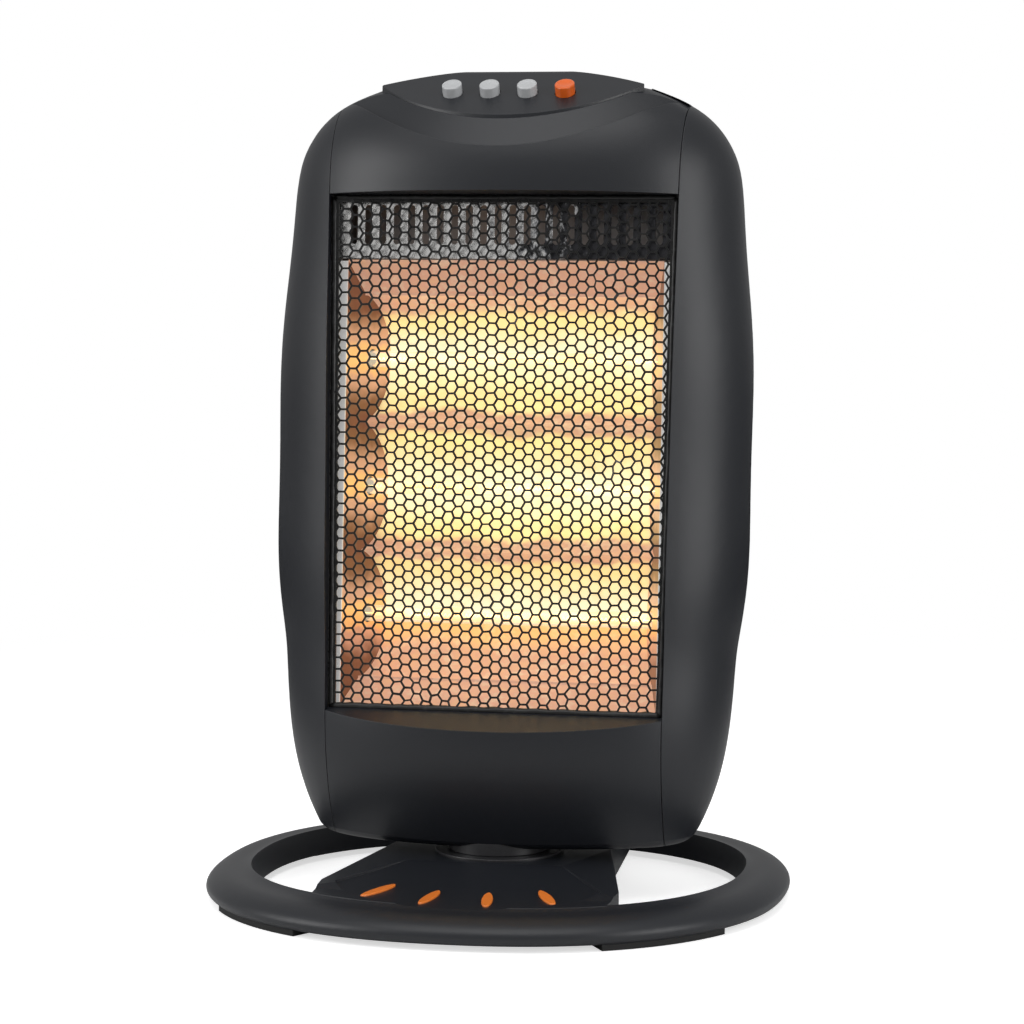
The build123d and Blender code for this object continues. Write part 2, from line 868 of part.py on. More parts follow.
def neck_collar():
    """The bush that rides on the deck's disc and turns about the post."""
    ring = upright(0, 0, collar_low_z(), floor_plate_z() - lay_gap, collar_radius)
    ring += upright(0, 0, collar_low_z(), collar_top_z(), collar_neck_radius)
    return ring - upright(0, 0, 0, FAR, post_radius + running_clearance)


def neck_hole():
    return upright(0, 0, 0, floor_plate_z(), collar_radius + seam_gap)


# Head casing

def side_shell(outside, inside):
    """The left side of the casing with the wall beside the window."""
    reach = seam_gap / 2
    web = seam_block(reach + shell_wall, -FAR, 2 * FAR, -FAR, web_rear_y)
    shell = outside - (inside - web) - seam_block(reach, -FAR, 2 * FAR, -FAR, FAR)
    return lean(shell & box_between((-FAR, -FAR, -FAR), (0, FAR, 2 * FAR)))


def lip_radius():
    """Radius of the control panel's front edge, in the plane of its slope."""
    sagitta = (pod_corner_y - lip_y) / math.cos(math.radians(panel_tilt))
    return (pod_half_width ** 2 + sagitta ** 2) / (2 * sagitta)


def crescent_tool(inset):
    """All above the conical hollow round the control panel's lip, moved into the body by the inset."""
    slope = (crescent_drop - crescent_step) / crescent_run
    low = crescent_step + inset * math.sqrt(1 + slope ** 2)
    start = lip_radius()
    end = start + crescent_run + inset
    back = start - crescent_run
    points = [(start, 0, -low), (end, 0, -low - slope * (end - start)), (end, 0, FAR), (back, 0, FAR),
              (back, 0, -inset)]
    ring = revolve(make_face(Polyline(*points, close=True).edges()), Axis.Z, 360)
    return slope_plane() * Pos(0, lip_radius(), 0) * ring


def top_panel(outside, inside):
    """The panel above the window, hollowed round the control panel's lip."""
    block = seam_block(-seam_gap / 2, window_high_z, 2 * FAR, -FAR, split_y - seam_gap / 2)
    panel = (outside & block) - crescent_tool(0) - pod_column()
    soffit = box_between((-FAR, -FAR, 0), (FAR, grille_y - grille_thickness, window_high_z + shell_wall))
    panel -= inside - crescent_tool(shell_wall) - soffit
    return lean(largest(panel))


def largest(part):
    """The one real piece left after a cut that grazes a corner."""
    return max(part.solids(), key=lambda piece: piece.volume)


def pod_column():
    """The opening that the control panel drops into."""
    return Pos(0, 0, pod_skirt_z - seam_gap) * extrude(pod_outline(seam_gap / 2), amount=FAR, dir=(0, 0, 1))


def bottom_panel(hollow, outside):
    """The panel below the window, with the sloping sill."""
    reach = -seam_gap / 2
    block = seam_block(reach, -FAR, window_low_z + FAR, -FAR, split_y - seam_gap / 2)
    panel = (hollow & block) - sill_tool(0)
    shelf = seam_block(reach, -FAR, window_low_z + FAR, -FAR, grille_y - seam_gap)
    panel += ((outside & shelf) - sill_tool(0)) & sill_tool(shell_wall)
    return lean(panel) - neck_hole()


def rear_cover(hollow, outside):
    """The back of the casing with its louvres and carrying recess."""
    block = seam_block(-seam_gap / 2, -FAR, 2 * FAR, split_y + seam_gap / 2, FAR)
    grip_low = grip_z - grip_height / 2
    grip_high = grip_z + grip_height / 2
    grip_front = widest_y + head_rear_depth - grip_depth
    pocket = box_between((-grip_half_width, grip_front, grip_low), (grip_half_width, FAR, grip_high))
    around = box_between((-grip_half_width - shell_wall, grip_front - shell_wall, grip_low - shell_wall),
                         (grip_half_width + shell_wall, FAR, grip_high + shell_wall))
    cover = (hollow & block) + (outside & around)
    cuts = [pocket, pod_column()]
    for z in louvre_heights():
        for x in louvre_middles():
            left = x - louvre_half_width
            right = x + louvre_half_width
            cuts.append(box_between((left, 0, z), (right, FAR, z + louvre_height)))
    for x, z in rear_screw_places():
        seat = rear_surface_y(x, z) - screw_seat_depth
        cuts.append(crosswise_y(x, z, 0, FAR, screw_radius + lay_gap))
        cuts.append(crosswise_y(x, z, seat, FAR, screw_head_radius + seam_gap))
    return lean(cover - cuts) - neck_hole()


def louvre_heights():
    upper = [upper_louvre_low_z + i * louvre_pitch for i in range(upper_louvre_rows)]
    lower = [lower_louvre_low_z + i * louvre_pitch for i in range(lower_louvre_rows)]
    return upper + lower


def louvre_middles():
    step = 2 * louvre_half_width + louvre_column_gap
    return [(i - (louvre_columns - 1) / 2) * step for i in range(louvre_columns)]


def rear_screw_places():
    return [(side * rear_screw_x, z) for side in (-1, 1) for z in rear_screw_heights]


def rear_surface_y(x, z):
    """Where the back of the head lies at a place on it."""
    share = (abs(x) / half_width_at(z, 0)) ** rear_power
    depth = depth_at(z, head_rear_depth, rear_top_radius, rear_bottom_radius, 0)
    return widest_y + depth * (1 - share) ** (1 / rear_power)


def rear_screws():
    """Screws that hold the rear cover, each in its shallow seat."""
    screws = []
    for x, z in rear_screw_places():
        y = rear_surface_y(x, z) - screw_seat_depth + lay_gap
        screws.append(lean(Pos(x, y, z) * Rot(90, 0, 0) * pan_screw()))
    return screws


# Control panel

def control_panel():
    """The raised panel on the head's top, with its four button holes."""
    body = pod_solid(0, pod_skirt_z) - pod_solid(pod_wall, pod_skirt_z - 1)
    plane = slope_plane()
    for x in button_places():
        body -= plane * Pos(x, button_distance, 0) * button_column(button_gap, -2 * pod_wall, pod_wall)
    return lean(body)


def button_places():
    return [(i - (button_count - 1) / 2) * button_pitch for i in range(button_count)]


def button_column(grow, low, high):
    """An oval column out of the panel's slope."""
    oval = Ellipse(button_half_width + grow, button_half_length + grow)
    return Pos(0, 0, low) * extrude(oval, amount=high - low)


def button(x):
    """An oval push button with a dished top and a stem into its switch."""
    cap = button_column(0, -button_skirt, button_stand)
    cap = fillet(cap.edges().group_by(Axis.Z)[-1], radius=button_bend)
    ball_z = button_stand + button_dish_radius - button_dish_depth
    cap -= Pos(0, 0, ball_z) * Rot(90, 0, 0) * Sphere(button_dish_radius)
    stem_low = stem_clearance - button_skirt - switch_gap - switch_bore_depth
    cap += upright(0, 0, stem_low, -button_skirt, stem_radius)
    return lean(slope_plane() * Pos(x, button_distance, 0) * cap)


def switch_bank():
    """The row of latching switches under the buttons."""
    top = -button_skirt - button_travel - switch_gap
    half = switch_width / 2
    low = button_distance - switch_depth / 2
    high = button_distance + switch_depth / 2
    body = box_between((-half, low, top - switch_height), (half, high, top))
    bore_low = top - switch_bore_depth - button_travel
    for x in button_places():
        body -= upright(x, button_distance, bore_low, top + 1, stem_radius + button_gap)
    return lean(slope_plane() * body)


# Heating chamber

def hex_hole(x, z):
    """One lozenge-like opening of the grille, pointed at both sides."""
    half = cell_half_height - cell_strand / 2
    tip = cell_half_length - cell_strand / 2
    flat = cell_flat_half - cell_strand / 4
    corners = [(x - tip, z), (x - flat, z + half), (x + flat, z + half), (x + tip, z), (x + flat, z - half),
               (x - flat, z - half)]
    return Wire(Polyline(*[(cx, grille_y, cz) for cx, cz in corners], close=True).edges())


def window_outline(inset, y):
    low_z = window_low_z + inset + sill_gap
    high_z = window_high_z - inset - lay_gap
    low = seam_half(low_z) - seam_gap / 2 - inset
    high = seam_half(high_z) - seam_gap / 2 - inset
    return [(-low, y, low_z), (low, y, low_z), (high, y, high_z), (-high, y, high_z)]


def grille():
    """The pierced sheet in front of the tubes, one flat face with its openings."""
    holes = []
    column_step = cell_half_length + cell_flat_half
    row_step = 2 * cell_half_height
    columns = int((seam_half(window_low_z) - grille_border) / column_step)
    middle = (window_low_z + window_high_z) / 2
    for i in range(-columns, columns + 1):
        x = i * column_step
        shift = (i % 2) * cell_half_height
        rows = int((window_high_z - window_low_z) / row_step / 2) + 1
        for j in range(-rows, rows + 1):
            z = middle + j * row_step + shift
            low_end = z - cell_half_height > window_low_z + grille_border
            high_end = z + cell_half_height < window_high_z - grille_border
            fits = abs(x) + cell_half_length < seam_half(z) - grille_border
            if low_end and high_end and fits:
                holes.append(hex_hole(x, z))
    outline = Wire(Polyline(*window_outline(0, grille_y), close=True).edges())
    return lean(extrude(Face(outline, holes), amount=grille_thickness, dir=(0, 1, 0)))


def grille_frame():
    """The pressed frame that the grille lies on."""
    start = grille_y + grille_thickness + lay_gap
    frame = prism(window_outline(0, start), (0, grille_frame_depth, 0))
    frame -= prism(window_outline(grille_border, start - 1), (0, 2 * grille_frame_depth + 2, 0))
    return lean(frame)


def splay_half(y, gap):
    """Half the distance between the reflector's splayed ends at a depth."""
    return reflector_front_half - (y - reflector_front_y) * math.tan(math.radians(reflector_splay)) - gap


def splay_block(gap, low_z, high_z, front_y, rear_y):
    front = splay_half(front_y, gap)
    rear = splay_half(rear_y, gap)
    points = [(-front, front_y, low_z), (front, front_y, low_z), (rear, rear_y, low_z),
              (-rear, rear_y, low_z)]
    return prism(points, (0, 0, high_z - low_z))


def trough_radius():
    half = (tube_heights[1] - tube_heights[0]) / 2
    depth = trough_back_y - trough_ridge_y
    return (half ** 2 + depth ** 2) / (2 * depth)


def reflector():
    """The polished sheet behind the tubes, one round trough for each."""
    centre_y = trough_back_y - trough_radius()
    half = (tube_heights[1] - tube_heights[0]) / 2
    body = None
    for z in tube_heights:
        tube = crosswise(centre_y, z, -FAR, FAR, trough_radius() + sheet)
        body = tube if body is None else body + tube
    low = tube_heights[0] - half
    high = tube_heights[-1] + half
    body &= box_between((-FAR, trough_ridge_y, low), (FAR, FAR, high))
    for z in tube_heights:
        body -= crosswise(centre_y, z, -2 * FAR, 2 * FAR, trough_radius())
    body = body + flare(low, reflector_low_z, -sheet) + flare(high, reflector_high_z, sheet)
    return lean(body & splay_block(lay_gap, 0, 2 * FAR, reflector_front_y - 1, trough_back_y + 2 * sheet))


def flare(ridge_z, front_z, thickness):
    """The flat flare from an end trough to the reflector's front edge, with the bend that joins them."""
    points = [(-FAR, trough_ridge_y, ridge_z), (-FAR, reflector_front_y, front_z),
              (-FAR, reflector_front_y, front_z + thickness), (-FAR, trough_ridge_y, ridge_z + thickness)]
    low = (-FAR, trough_ridge_y - sheet, ridge_z - sheet)
    high = (FAR, trough_ridge_y + sheet, ridge_z + sheet)
    bend = box_between(low, high)
    return prism(points, (2 * FAR, 0, 0)) + bend


def reflector_end(side):
    """One splayed end of the reflector, with holes for the tubes."""
    rear_y = trough_back_y + sheet
    near = splay_block(0, reflector_low_z, reflector_high_z, reflector_front_y, rear_y)
    wide = splay_block(-sheet, reflector_low_z, reflector_high_z, reflector_front_y, rear_y)
    rim_y = reflector_front_y - sheet
    rim = seam_block(-end_rim_gap, reflector_low_z, reflector_high_z, rim_y, reflector_front_y)
    rim -= splay_block(0, 0, 2 * FAR, rim_y - 1, rear_y)
    plate = wide - near + rim
    for z in tube_heights:
        plate -= crosswise(tube_y, z, -FAR, FAR, tube_radius + tube_hole_gap)
    keep = box_between((0, -FAR, 0), (FAR, FAR, 2 * FAR))
    if side < 0:
        keep = box_between((-FAR, -FAR, 0), (0, FAR, 2 * FAR))
    return lean(plate & keep)


def slot_plate():
    """The bright strip with upright slots above the reflector, folded back to the heat shield."""
    half = seam_half(slot_plate_low_z) - slot_plate_gap
    low = slot_plate_low_z
    high = slot_plate_high_z
    plate = box_between((-half, slot_plate_y, low), (half, slot_plate_y + sheet, high))
    plate += box_between((-half, slot_plate_y, high - sheet), (half, shield_y() - lay_gap, high))
    middle = (low + high) / 2 + slot_rise
    straight = slot_height / 2 - slot_width / 2
    rear = slot_plate_y + 2 * sheet
    for i in range(slot_count):
        x = (i - (slot_count - 1) / 2) * slot_pitch
        cut = box_between((x - slot_width / 2, slot_plate_y - 1, middle - straight),
                          (x + slot_width / 2, rear, middle + straight))
        for end in (-1, 1):
            cut += crosswise_y(x, middle + end * straight, slot_plate_y - 1, rear, slot_width / 2)
        plate -= cut
    return lean(plate)


def shield_y():
    return trough_back_y + sheet + lay_gap


def heat_shield():
    """The steel sheet behind the reflector, between the side shells."""
    half_low = seam_half(chassis_low_z) - lay_gap
    half_high = seam_half(chassis_high_z) - lay_gap
    y = shield_y()
    points = [(-half_low, y, chassis_low_z), (half_low, y, chassis_low_z), (half_high, y, chassis_high_z),
              (-half_high, y, chassis_high_z)]
    return lean(prism(points, (0, chassis_thickness, 0)))


def lamp_bracket(side):
    """The steel strip that holds one end of the three tubes."""
    middle = (cap_inner_x + cap_outer_x) / 2
    half = bracket_arm_half_width
    front = tube_y - cap_radius - bracket_lip
    rear = shield_y() - lay_gap
    strip = box_between((middle - half, front, bracket_low_z), (middle + half, rear, bracket_high_z))
    for z in tube_heights:
        strip -= crosswise(tube_y, z, 0, FAR, cap_waist_radius + lay_gap)
    if side < 0:
        strip = mirror(strip, about=Plane.YZ)
    return lean(strip)


def tube_caps(side):
    """The ceramic ends of the tubes, each waisted where its bracket grips it."""
    caps = []
    middle = (cap_inner_x + cap_outer_x) / 2
    waist = bracket_arm_half_width + lay_gap
    for z in tube_heights:
        cap = crosswise(tube_y, z, cap_inner_x, cap_outer_x, cap_radius)
        groove = crosswise(tube_y, z, middle - waist, middle + waist, cap_radius + 1)
        groove -= crosswise(tube_y, z, 0, FAR, cap_waist_radius)
        cap -= groove
        cap -= crosswise(tube_y, z, 0, tube_half_length + lay_gap, tube_radius + lay_gap)
        cap -= crosswise(tube_y, z, 0, FAR, lead_radius + lay_gap)
        if side < 0:
            cap = mirror(cap, about=Plane.YZ)
        caps.append(lean(cap))
    return caps


def quartz_tube(z):
    """A clear quartz tube, open at both ends."""
    tube = crosswise(tube_y, z, -tube_half_length, tube_half_length, tube_radius)
    return lean(tube - crosswise(tube_y, z, -FAR, FAR, tube_radius - tube_wall))


def filament(z):
    """The heating wire of one tube with its straight leads."""
    wire = crosswise(tube_y, z, -filament_half_length, filament_half_length, filament_radius)
    return lean(wire + crosswise(tube_y, z, -cap_outer_x, cap_outer_x, lead_radius))


# Electrical parts

def terminal_block():
    """The connector block on the back of the heat shield."""
    low_y = shield_y() + chassis_thickness + lay_gap
    high_y = low_y + terminal_depth
    half = terminal_width / 2
    middle = terminal_z + terminal_height / 2
    body = box_between((-half, low_y, terminal_z), (half, high_y, terminal_z + terminal_height))
    for i in range(terminal_count):
        x = (i - (terminal_count - 1) / 2) * terminal_width / terminal_count
        body -= crosswise_y(x, middle, low_y + terminal_depth / 2, high_y + 1, terminal_hole_radius)
    return lean(body)


def thermal_cutout():
    """The round safety cut-out on the back of the heat shield."""
    low_y = shield_y() + chassis_thickness + lay_gap
    disc = crosswise_y(0, cutout_z, low_y, low_y + cutout_height, cutout_radius)
    reach = cutout_radius + cutout_tab_length
    half = cutout_tab_width / 2
    tabs = box_between((-reach, low_y, cutout_z - half), (reach, low_y + cutout_tab_thickness, cutout_z + half))
    return lean(disc + tabs)


def lamp_wires():
    """Insulated wires clipped flat to the back of the heat shield."""
    y = shield_y() + chassis_thickness + lay_gap + wire_radius
    return [lean(upright(x, y, wire_low_z, terminal_z - lay_gap, wire_radius)) for x in wire_xs[1:3]] + [
        lean(upright(x, y, wire_low_z, wire_high_z, wire_radius)) for x in (wire_xs[0], wire_xs[3])]


def tip_switch():
    """The housing of the tip-over switch inside the base."""
    low = foot_height + cover_thickness + lay_gap
    half_x = tip_switch_width / 2
    half_y = tip_switch_depth / 2
    high = deck_top_z - deck_wall - lay_gap
    body = box_between((-half_x, plunger_y - half_y, low), (half_x, plunger_y + half_y, high))
    return body - upright(0, plunger_y, 0, high - deck_wall, plunger_radius + button_gap)


def tip_plunger():
    """The plunger that the floor presses in, headed so that it stays in its housing."""
    top = deck_top_z - 2 * deck_wall - plunger_headroom
    body = upright(0, plunger_y, plunger_rest_z, top, plunger_radius)
    return fillet(body.edges().group_by(Axis.Z)[0], radius=plunger_radius / 3)


def cord_gland():
    """The bush in the rear of the ring that the mains lead enters by."""
    seat = ring_half_depth + 2 * lay_gap
    end = seat + gland_flange_thickness
    bush = crosswise_y(0, gland_z, ring_half_depth - gland_length, end, gland_radius)
    bush += crosswise_y(0, gland_z, seat, end, gland_flange_radius)
    return bush - crosswise_y(0, gland_z, 0, 2 * FAR, gland_bore)


os.makedirs("parts", exist_ok=True)


def save(name, part):
    """Write one node, made of one solid or of several alike."""
    shape = part
    if isinstance(part, list):
        shape = Compound(children=[Compound(p.solids()) if len(p.solids()) > 1 else p.solid() for p in part])
    elif len(part.solids()) == 1:
        shape = part.solid()
    export_step(shape, "parts/" + name + ".step")
    print(name, len(shape.solids()), round(shape.volume))


outside = head_outside()
inside = head_inside()
hollow = outside - inside

save("base_moulding", base_moulding())
save("foot_pads", foot_pads())
save("deck_inserts", inserts())
save("bottom_cover", bottom_cover())
save("cover_screws", cover_screws())
save("swivel_disc", swivel_disc())
save("neck_post", neck_post())
save("post_retainer", retainer())
save("drive_arm", drive_arm())
save("cord_gland", cord_gland())
save("tip_switch_housing", tip_switch())
save("tip_switch_plunger", tip_plunger())
save("neck_collar", neck_collar())
save("floor_plate", floor_plate())
save("motor_bracket", motor_bracket())
save("swing_motor", motor())
save("drive_crank", crank())
shell = side_shell(outside, inside)
save("side_shell_left", shell)
save("side_shell_right", mirror(shell, about=Plane.YZ))
save("top_panel", top_panel(outside, inside))
save("bottom_panel", bottom_panel(hollow, outside))
save("rear_cover", rear_cover(hollow, outside))
save("rear_cover_screws", rear_screws())
save("control_panel", control_panel())
save("switch_bank", switch_bank())
for number, x in enumerate(button_places(), start=1):
    save("button_" + str(number), button(x))
save("grille", grille())
save("grille_frame", grille_frame())
save("reflector", reflector())
save("reflector_end_left", reflector_end(-1))
save("reflector_end_right", reflector_end(1))
save("slotted_strip", slot_plate())
save("heat_shield", heat_shield())
save("lamp_bracket_left", lamp_bracket(-1))
save("lamp_bracket_right", lamp_bracket(1))
save("tube_caps_left", tube_caps(-1))
save("tube_caps_right", tube_caps(1))
for name, z in zip(("bottom", "middle", "top"), tube_heights):
    save("quartz_tube_" + name, quartz_tube(z))
    save("filament_" + name, filament(z))
save("terminal_block", terminal_block())
save("thermal_cutout", thermal_cutout())
save("lamp_wires", lamp_wires())
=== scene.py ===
"""Looks of the halogen tube heater: finishes for every piece, the crumpled wire guard, the heating
coils, the glow, soft studio light and the camera. Metres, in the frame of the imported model."""

import json
import math

import bmesh
import bpy
from mathutils import Matrix, Vector, noise


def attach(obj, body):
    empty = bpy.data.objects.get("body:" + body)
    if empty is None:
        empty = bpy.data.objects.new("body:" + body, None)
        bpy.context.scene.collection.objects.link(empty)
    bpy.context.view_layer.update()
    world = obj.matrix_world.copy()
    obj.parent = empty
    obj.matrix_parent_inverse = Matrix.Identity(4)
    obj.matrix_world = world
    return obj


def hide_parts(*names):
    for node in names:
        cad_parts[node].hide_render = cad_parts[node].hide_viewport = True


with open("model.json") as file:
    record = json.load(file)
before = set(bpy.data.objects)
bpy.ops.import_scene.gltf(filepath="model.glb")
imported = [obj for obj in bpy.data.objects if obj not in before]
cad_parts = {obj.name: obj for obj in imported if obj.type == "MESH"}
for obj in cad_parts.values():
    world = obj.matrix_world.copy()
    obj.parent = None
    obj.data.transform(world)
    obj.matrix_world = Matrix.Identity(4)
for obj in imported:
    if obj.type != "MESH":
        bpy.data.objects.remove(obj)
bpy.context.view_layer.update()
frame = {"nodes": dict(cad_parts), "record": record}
record = frame["record"]
nodes = frame["nodes"]

MM = 0.001
LEAN = math.radians(5.46)
TO_PLACE = Matrix.Rotation(-LEAN, 4, "X")
TO_UPRIGHT = Matrix.Rotation(LEAN, 4, "X")


def upright_box(node):
    """Lowest and highest corners of a node in the head's own upright frame."""
    points = [TO_UPRIGHT @ v.co for v in nodes[node].data.vertices]
    low = Vector([min(p[i] for p in points) for i in range(3)])
    high = Vector([max(p[i] for p in points) for i in range(3)])
    return low, high


# Shader helpers


class Nodes:
    """Adds nodes to a material or a group and links them in one call each."""

    def __init__(self, tree):
        self.tree = tree

    def add(self, kind, **inputs):
        node = self.tree.nodes.new("ShaderNode" + kind)
        for key, value in inputs.items():
            self.feed(node, key.replace("_", " "), value)
        return node

    def feed(self, node, key, value):
        socket = node.inputs[int(key)] if key.isdigit() else node.inputs[key]
        if isinstance(value, bpy.types.NodeSocket):
            self.tree.links.new(value, socket)
        else:
            socket.default_value = value

    def math(self, operation, a, b=0.0, c=0.0):
        node = self.tree.nodes.new("ShaderNodeMath")
        node.operation = operation
        for i, value in enumerate((a, b, c)):
            self.feed(node, str(i), value)
        return node.outputs[0]

    def ramp(self, factor, stops):
        """A colour ramp through (place, colour) stops."""
        node = self.tree.nodes.new("ShaderNodeValToRGB")
        node.color_ramp.interpolation = "EASE"
        elements = node.color_ramp.elements
        while len(elements) < len(stops):
            elements.new(0.5)
        for element, (place, colour) in zip(elements, stops):
            element.position = place
            element.color = (*colour, 1.0)
        self.tree.links.new(factor, node.inputs["Fac"])
        return node.outputs["Color"]

    def mix(self, factor, a, b):
        """A blend of two colours by a factor."""
        node = self.tree.nodes.new("ShaderNodeMix")
        node.data_type = "RGBA"
        for key, value in ((0, factor), (6, a), (7, b)):
            if isinstance(value, bpy.types.NodeSocket):
                self.tree.links.new(value, node.inputs[key])
            elif isinstance(value, tuple):
                node.inputs[key].default_value = (*value, 1.0)
            else:
                node.inputs[key].default_value = value
        return node.outputs[2]

    def object_coords(self):
        return self.add("TexCoord").outputs["Object"]

    def upright_coords(self):
        """Object coordinates turned into the head's upright frame."""
        mapping = self.add("Mapping", Vector=self.object_coords())
        mapping.inputs["Rotation"].default_value = (LEAN, 0.0, 0.0)
        return mapping.outputs["Vector"]

    def noise(self, coords, scale, detail=2.0, rough=0.5):
        node = self.add("TexNoise", Vector=coords, Scale=scale, Detail=detail, Roughness=rough)
        return node.outputs["Fac"]


def new_group(name, inputs, outputs):
    """An empty shader group with float inputs and float outputs."""
    tree = bpy.data.node_groups.new(name, "ShaderNodeTree")
    for key, value in inputs.items():
        socket = tree.interface.new_socket(key, in_out="INPUT", socket_type="NodeSocketFloat")
        socket.default_value = value
    for key in outputs:
        tree.interface.new_socket(key, in_out="OUTPUT", socket_type="NodeSocketFloat")
    source = tree.nodes.new("NodeGroupInput")
    sink = tree.nodes.new("NodeGroupOutput")
    return tree, Nodes(tree), source.outputs, sink.inputs


# Pattern sizes: a scale is in repeats to the metre, a depth or a radius in metres
GRAIN_SCALE = 1400.0
RUBBER_GRAIN_SCALE = 700.0
GRAIN_DEPTH = 0.05 * MM
RUBBER_GRAIN_DEPTH = 0.08 * MM
CLOUD_SCALE = 9.0
# Radius and gain of the mask for the painted edge highlight
EDGE_HIGHLIGHT_RADIUS = 0.8 * MM
EDGE_HIGHLIGHT_GAIN = 3.0
BEVEL_SAMPLES = 4


def make_moulded_grain():
    """Fine spark-eroded grain of moulded plastic, with a slow cloud over it."""
    scales = {"Grain": GRAIN_SCALE, "Cloud": CLOUD_SCALE}
    tree, n, given, result = new_group("moulded_grain", scales, ["Height", "Cloud mask"])
    coords = n.object_coords()
    fine = n.add("TexNoise", Vector=coords, Scale=given["Grain"], Detail=2.0, Roughness=0.6)
    slow = n.add("TexNoise", Vector=coords, Scale=given["Cloud"], Detail=1.0, Roughness=0.4)
    tree.links.new(fine.outputs["Fac"], result["Height"])
    tree.links.new(slow.outputs["Fac"], result["Cloud mask"])
    return tree


def make_edge_mask():
    """Painted highlight mask: white along edges, from how far a rounded normal turns from the
    face.
    """
    tree, n, given, result = new_group("edge_highlight_mask", {"Gain": EDGE_HIGHLIGHT_GAIN}, ["Mask"])
    bevel = n.add("Bevel", Radius=EDGE_HIGHLIGHT_RADIUS)
    bevel.samples = BEVEL_SAMPLES
    face = n.add("NewGeometry").outputs["Normal"]
    dot = tree.nodes.new("ShaderNodeVectorMath")
    dot.operation = "DOT_PRODUCT"
    tree.links.new(bevel.outputs["Normal"], dot.inputs[0])
    tree.links.new(face, dot.inputs[1])
    turned = n.math("SUBTRACT", 1.0, dot.outputs["Value"])
    strong = n.math("MULTIPLY", turned, given["Gain"])
    tree.links.new(n.math("MINIMUM", strong, 1.0), result["Mask"])
    return tree


GRAIN = make_moulded_grain()
EDGE_HIGHLIGHTS = make_edge_mask()


def place_group(n, tree, **inputs):
    """Puts a shared shader group into a material and gives back its outputs."""
    node = n.tree.nodes.new("ShaderNodeGroup")
    node.node_tree = tree
    for key, value in inputs.items():
        node.inputs[key].default_value = value
    return node.outputs


def new_material(name):
    """A material with a Principled shader, its node helper and the shader node."""
    material = bpy.data.materials.new(name)
    material.use_nodes = True
    shader = material.node_tree.nodes["Principled BSDF"]
    return material, Nodes(material.node_tree), shader


def bump(n, shader, height, depth, rounded=0.0):
    """Relief of a given depth, and edges that look rounded by a radius."""
    node = n.add("Bump", Height=height, Distance=depth)
    if rounded:
        bevel = n.add("Bevel", Radius=rounded)
        bevel.samples = BEVEL_SAMPLES
        n.tree.links.new(bevel.outputs["Normal"], node.inputs["Normal"])
    n.tree.links.new(node.outputs["Normal"], shader.inputs["Normal"])


MOULDED_ROUND = 0.5 * MM
CLOUD_DARK = 0.86
CLOUD_LIGHT = 1.12
# How much the painted edge highlight lightens the colour
HIGHLIGHT_BRIGHTEN = 1.6
HIGHLIGHT_LIFT = 0.03
GLOSS_SPREAD = 0.10


def moulded(name, colour, rough, grain=GRAIN_SCALE, depth=GRAIN_DEPTH, edge=0.25, coat=0.0):
    """Moulded plastic or rubber: grain, a faint cloud in tone and gloss, edges lightened by a
    painted highlight.
    """
    material, n, shader = new_material(name)
    skin = place_group(n, GRAIN, Grain=grain)
    mask = place_group(n, EDGE_HIGHLIGHTS)["Mask"]
    darker = tuple(c * CLOUD_DARK for c in colour)
    lighter = tuple(min(1.0, c * CLOUD_LIGHT) for c in colour)
    tone = n.mix(skin["Cloud mask"], darker, lighter)
    # Painted highlight: edges lighter than the plastic, standing in for light caught on rounded
    # edges
    highlight_tone = tuple(min(1.0, c * HIGHLIGHT_BRIGHTEN + HIGHLIGHT_LIFT) for c in colour)
    highlighted = n.mix(n.math("MULTIPLY", mask, edge), tone, highlight_tone)
    n.tree.links.new(highlighted, shader.inputs["Base Color"])
    gloss = n.math("MULTIPLY_ADD", skin["Cloud mask"], GLOSS_SPREAD, rough - GLOSS_SPREAD / 2)
    n.tree.links.new(gloss, shader.inputs["Roughness"])
    shader.inputs["Coat Weight"].default_value = coat
    bump(n, shader, skin["Height"], depth, MOULDED_ROUND)
    return material


ROLL_LINE_SCALE = 500.0
ROLL_LINE_DEPTH = 0.03 * MM
METAL_CLOUD_SCALE = 30.0
METAL_CLOUD_DARK = 0.8
METAL_GLOSS_SPREAD = 0.15
SHEET_ROUND = 0.3 * MM


def metal(name, colour, rough, stretch=(1.0, 1.0, 1.0)):
    """Rolled or polished metal with fine lines along its stretch and a cloudy gloss."""
    material, n, shader = new_material(name)
    shader.inputs["Metallic"].default_value = 1.0
    mapping = n.add("Mapping", Vector=n.object_coords())
    mapping.inputs["Scale"].default_value = stretch
    lines = n.noise(mapping.outputs["Vector"], ROLL_LINE_SCALE, 4.0, 0.6)
    cloud = n.noise(n.object_coords(), METAL_CLOUD_SCALE)
    darker = tuple(c * METAL_CLOUD_DARK for c in colour)
    n.tree.links.new(n.mix(cloud, darker, colour), shader.inputs["Base Color"])
    gloss = n.math("MULTIPLY_ADD", cloud, METAL_GLOSS_SPREAD, rough)
    n.tree.links.new(gloss, shader.inputs["Roughness"])
    bump(n, shader, lines, ROLL_LINE_DEPTH, SHEET_ROUND)
    return material


# Glow of the chamber, worked out from how far a place is from the tubes

TUBES = ("bottom", "middle", "top")
tube_boxes = [upright_box("quartz_tube_" + name) for name in TUBES]
tube_heights = [(low.z + high.z) / 2 for low, high in tube_boxes]
reflector_low, reflector_high = upright_box("reflector")

EMBER = (0.20, 0.085, 0.045)
RIDGE = (0.56, 0.32, 0.23)
PINK = (0.64, 0.37, 0.26)
AMBER = (0.93, 0.55, 0.22)
YELLOW = (1.0, 0.85, 0.40)
PALE = (1.0, 0.96, 0.70)
BRIGHT_SHEET = (0.85, 0.84, 0.82)

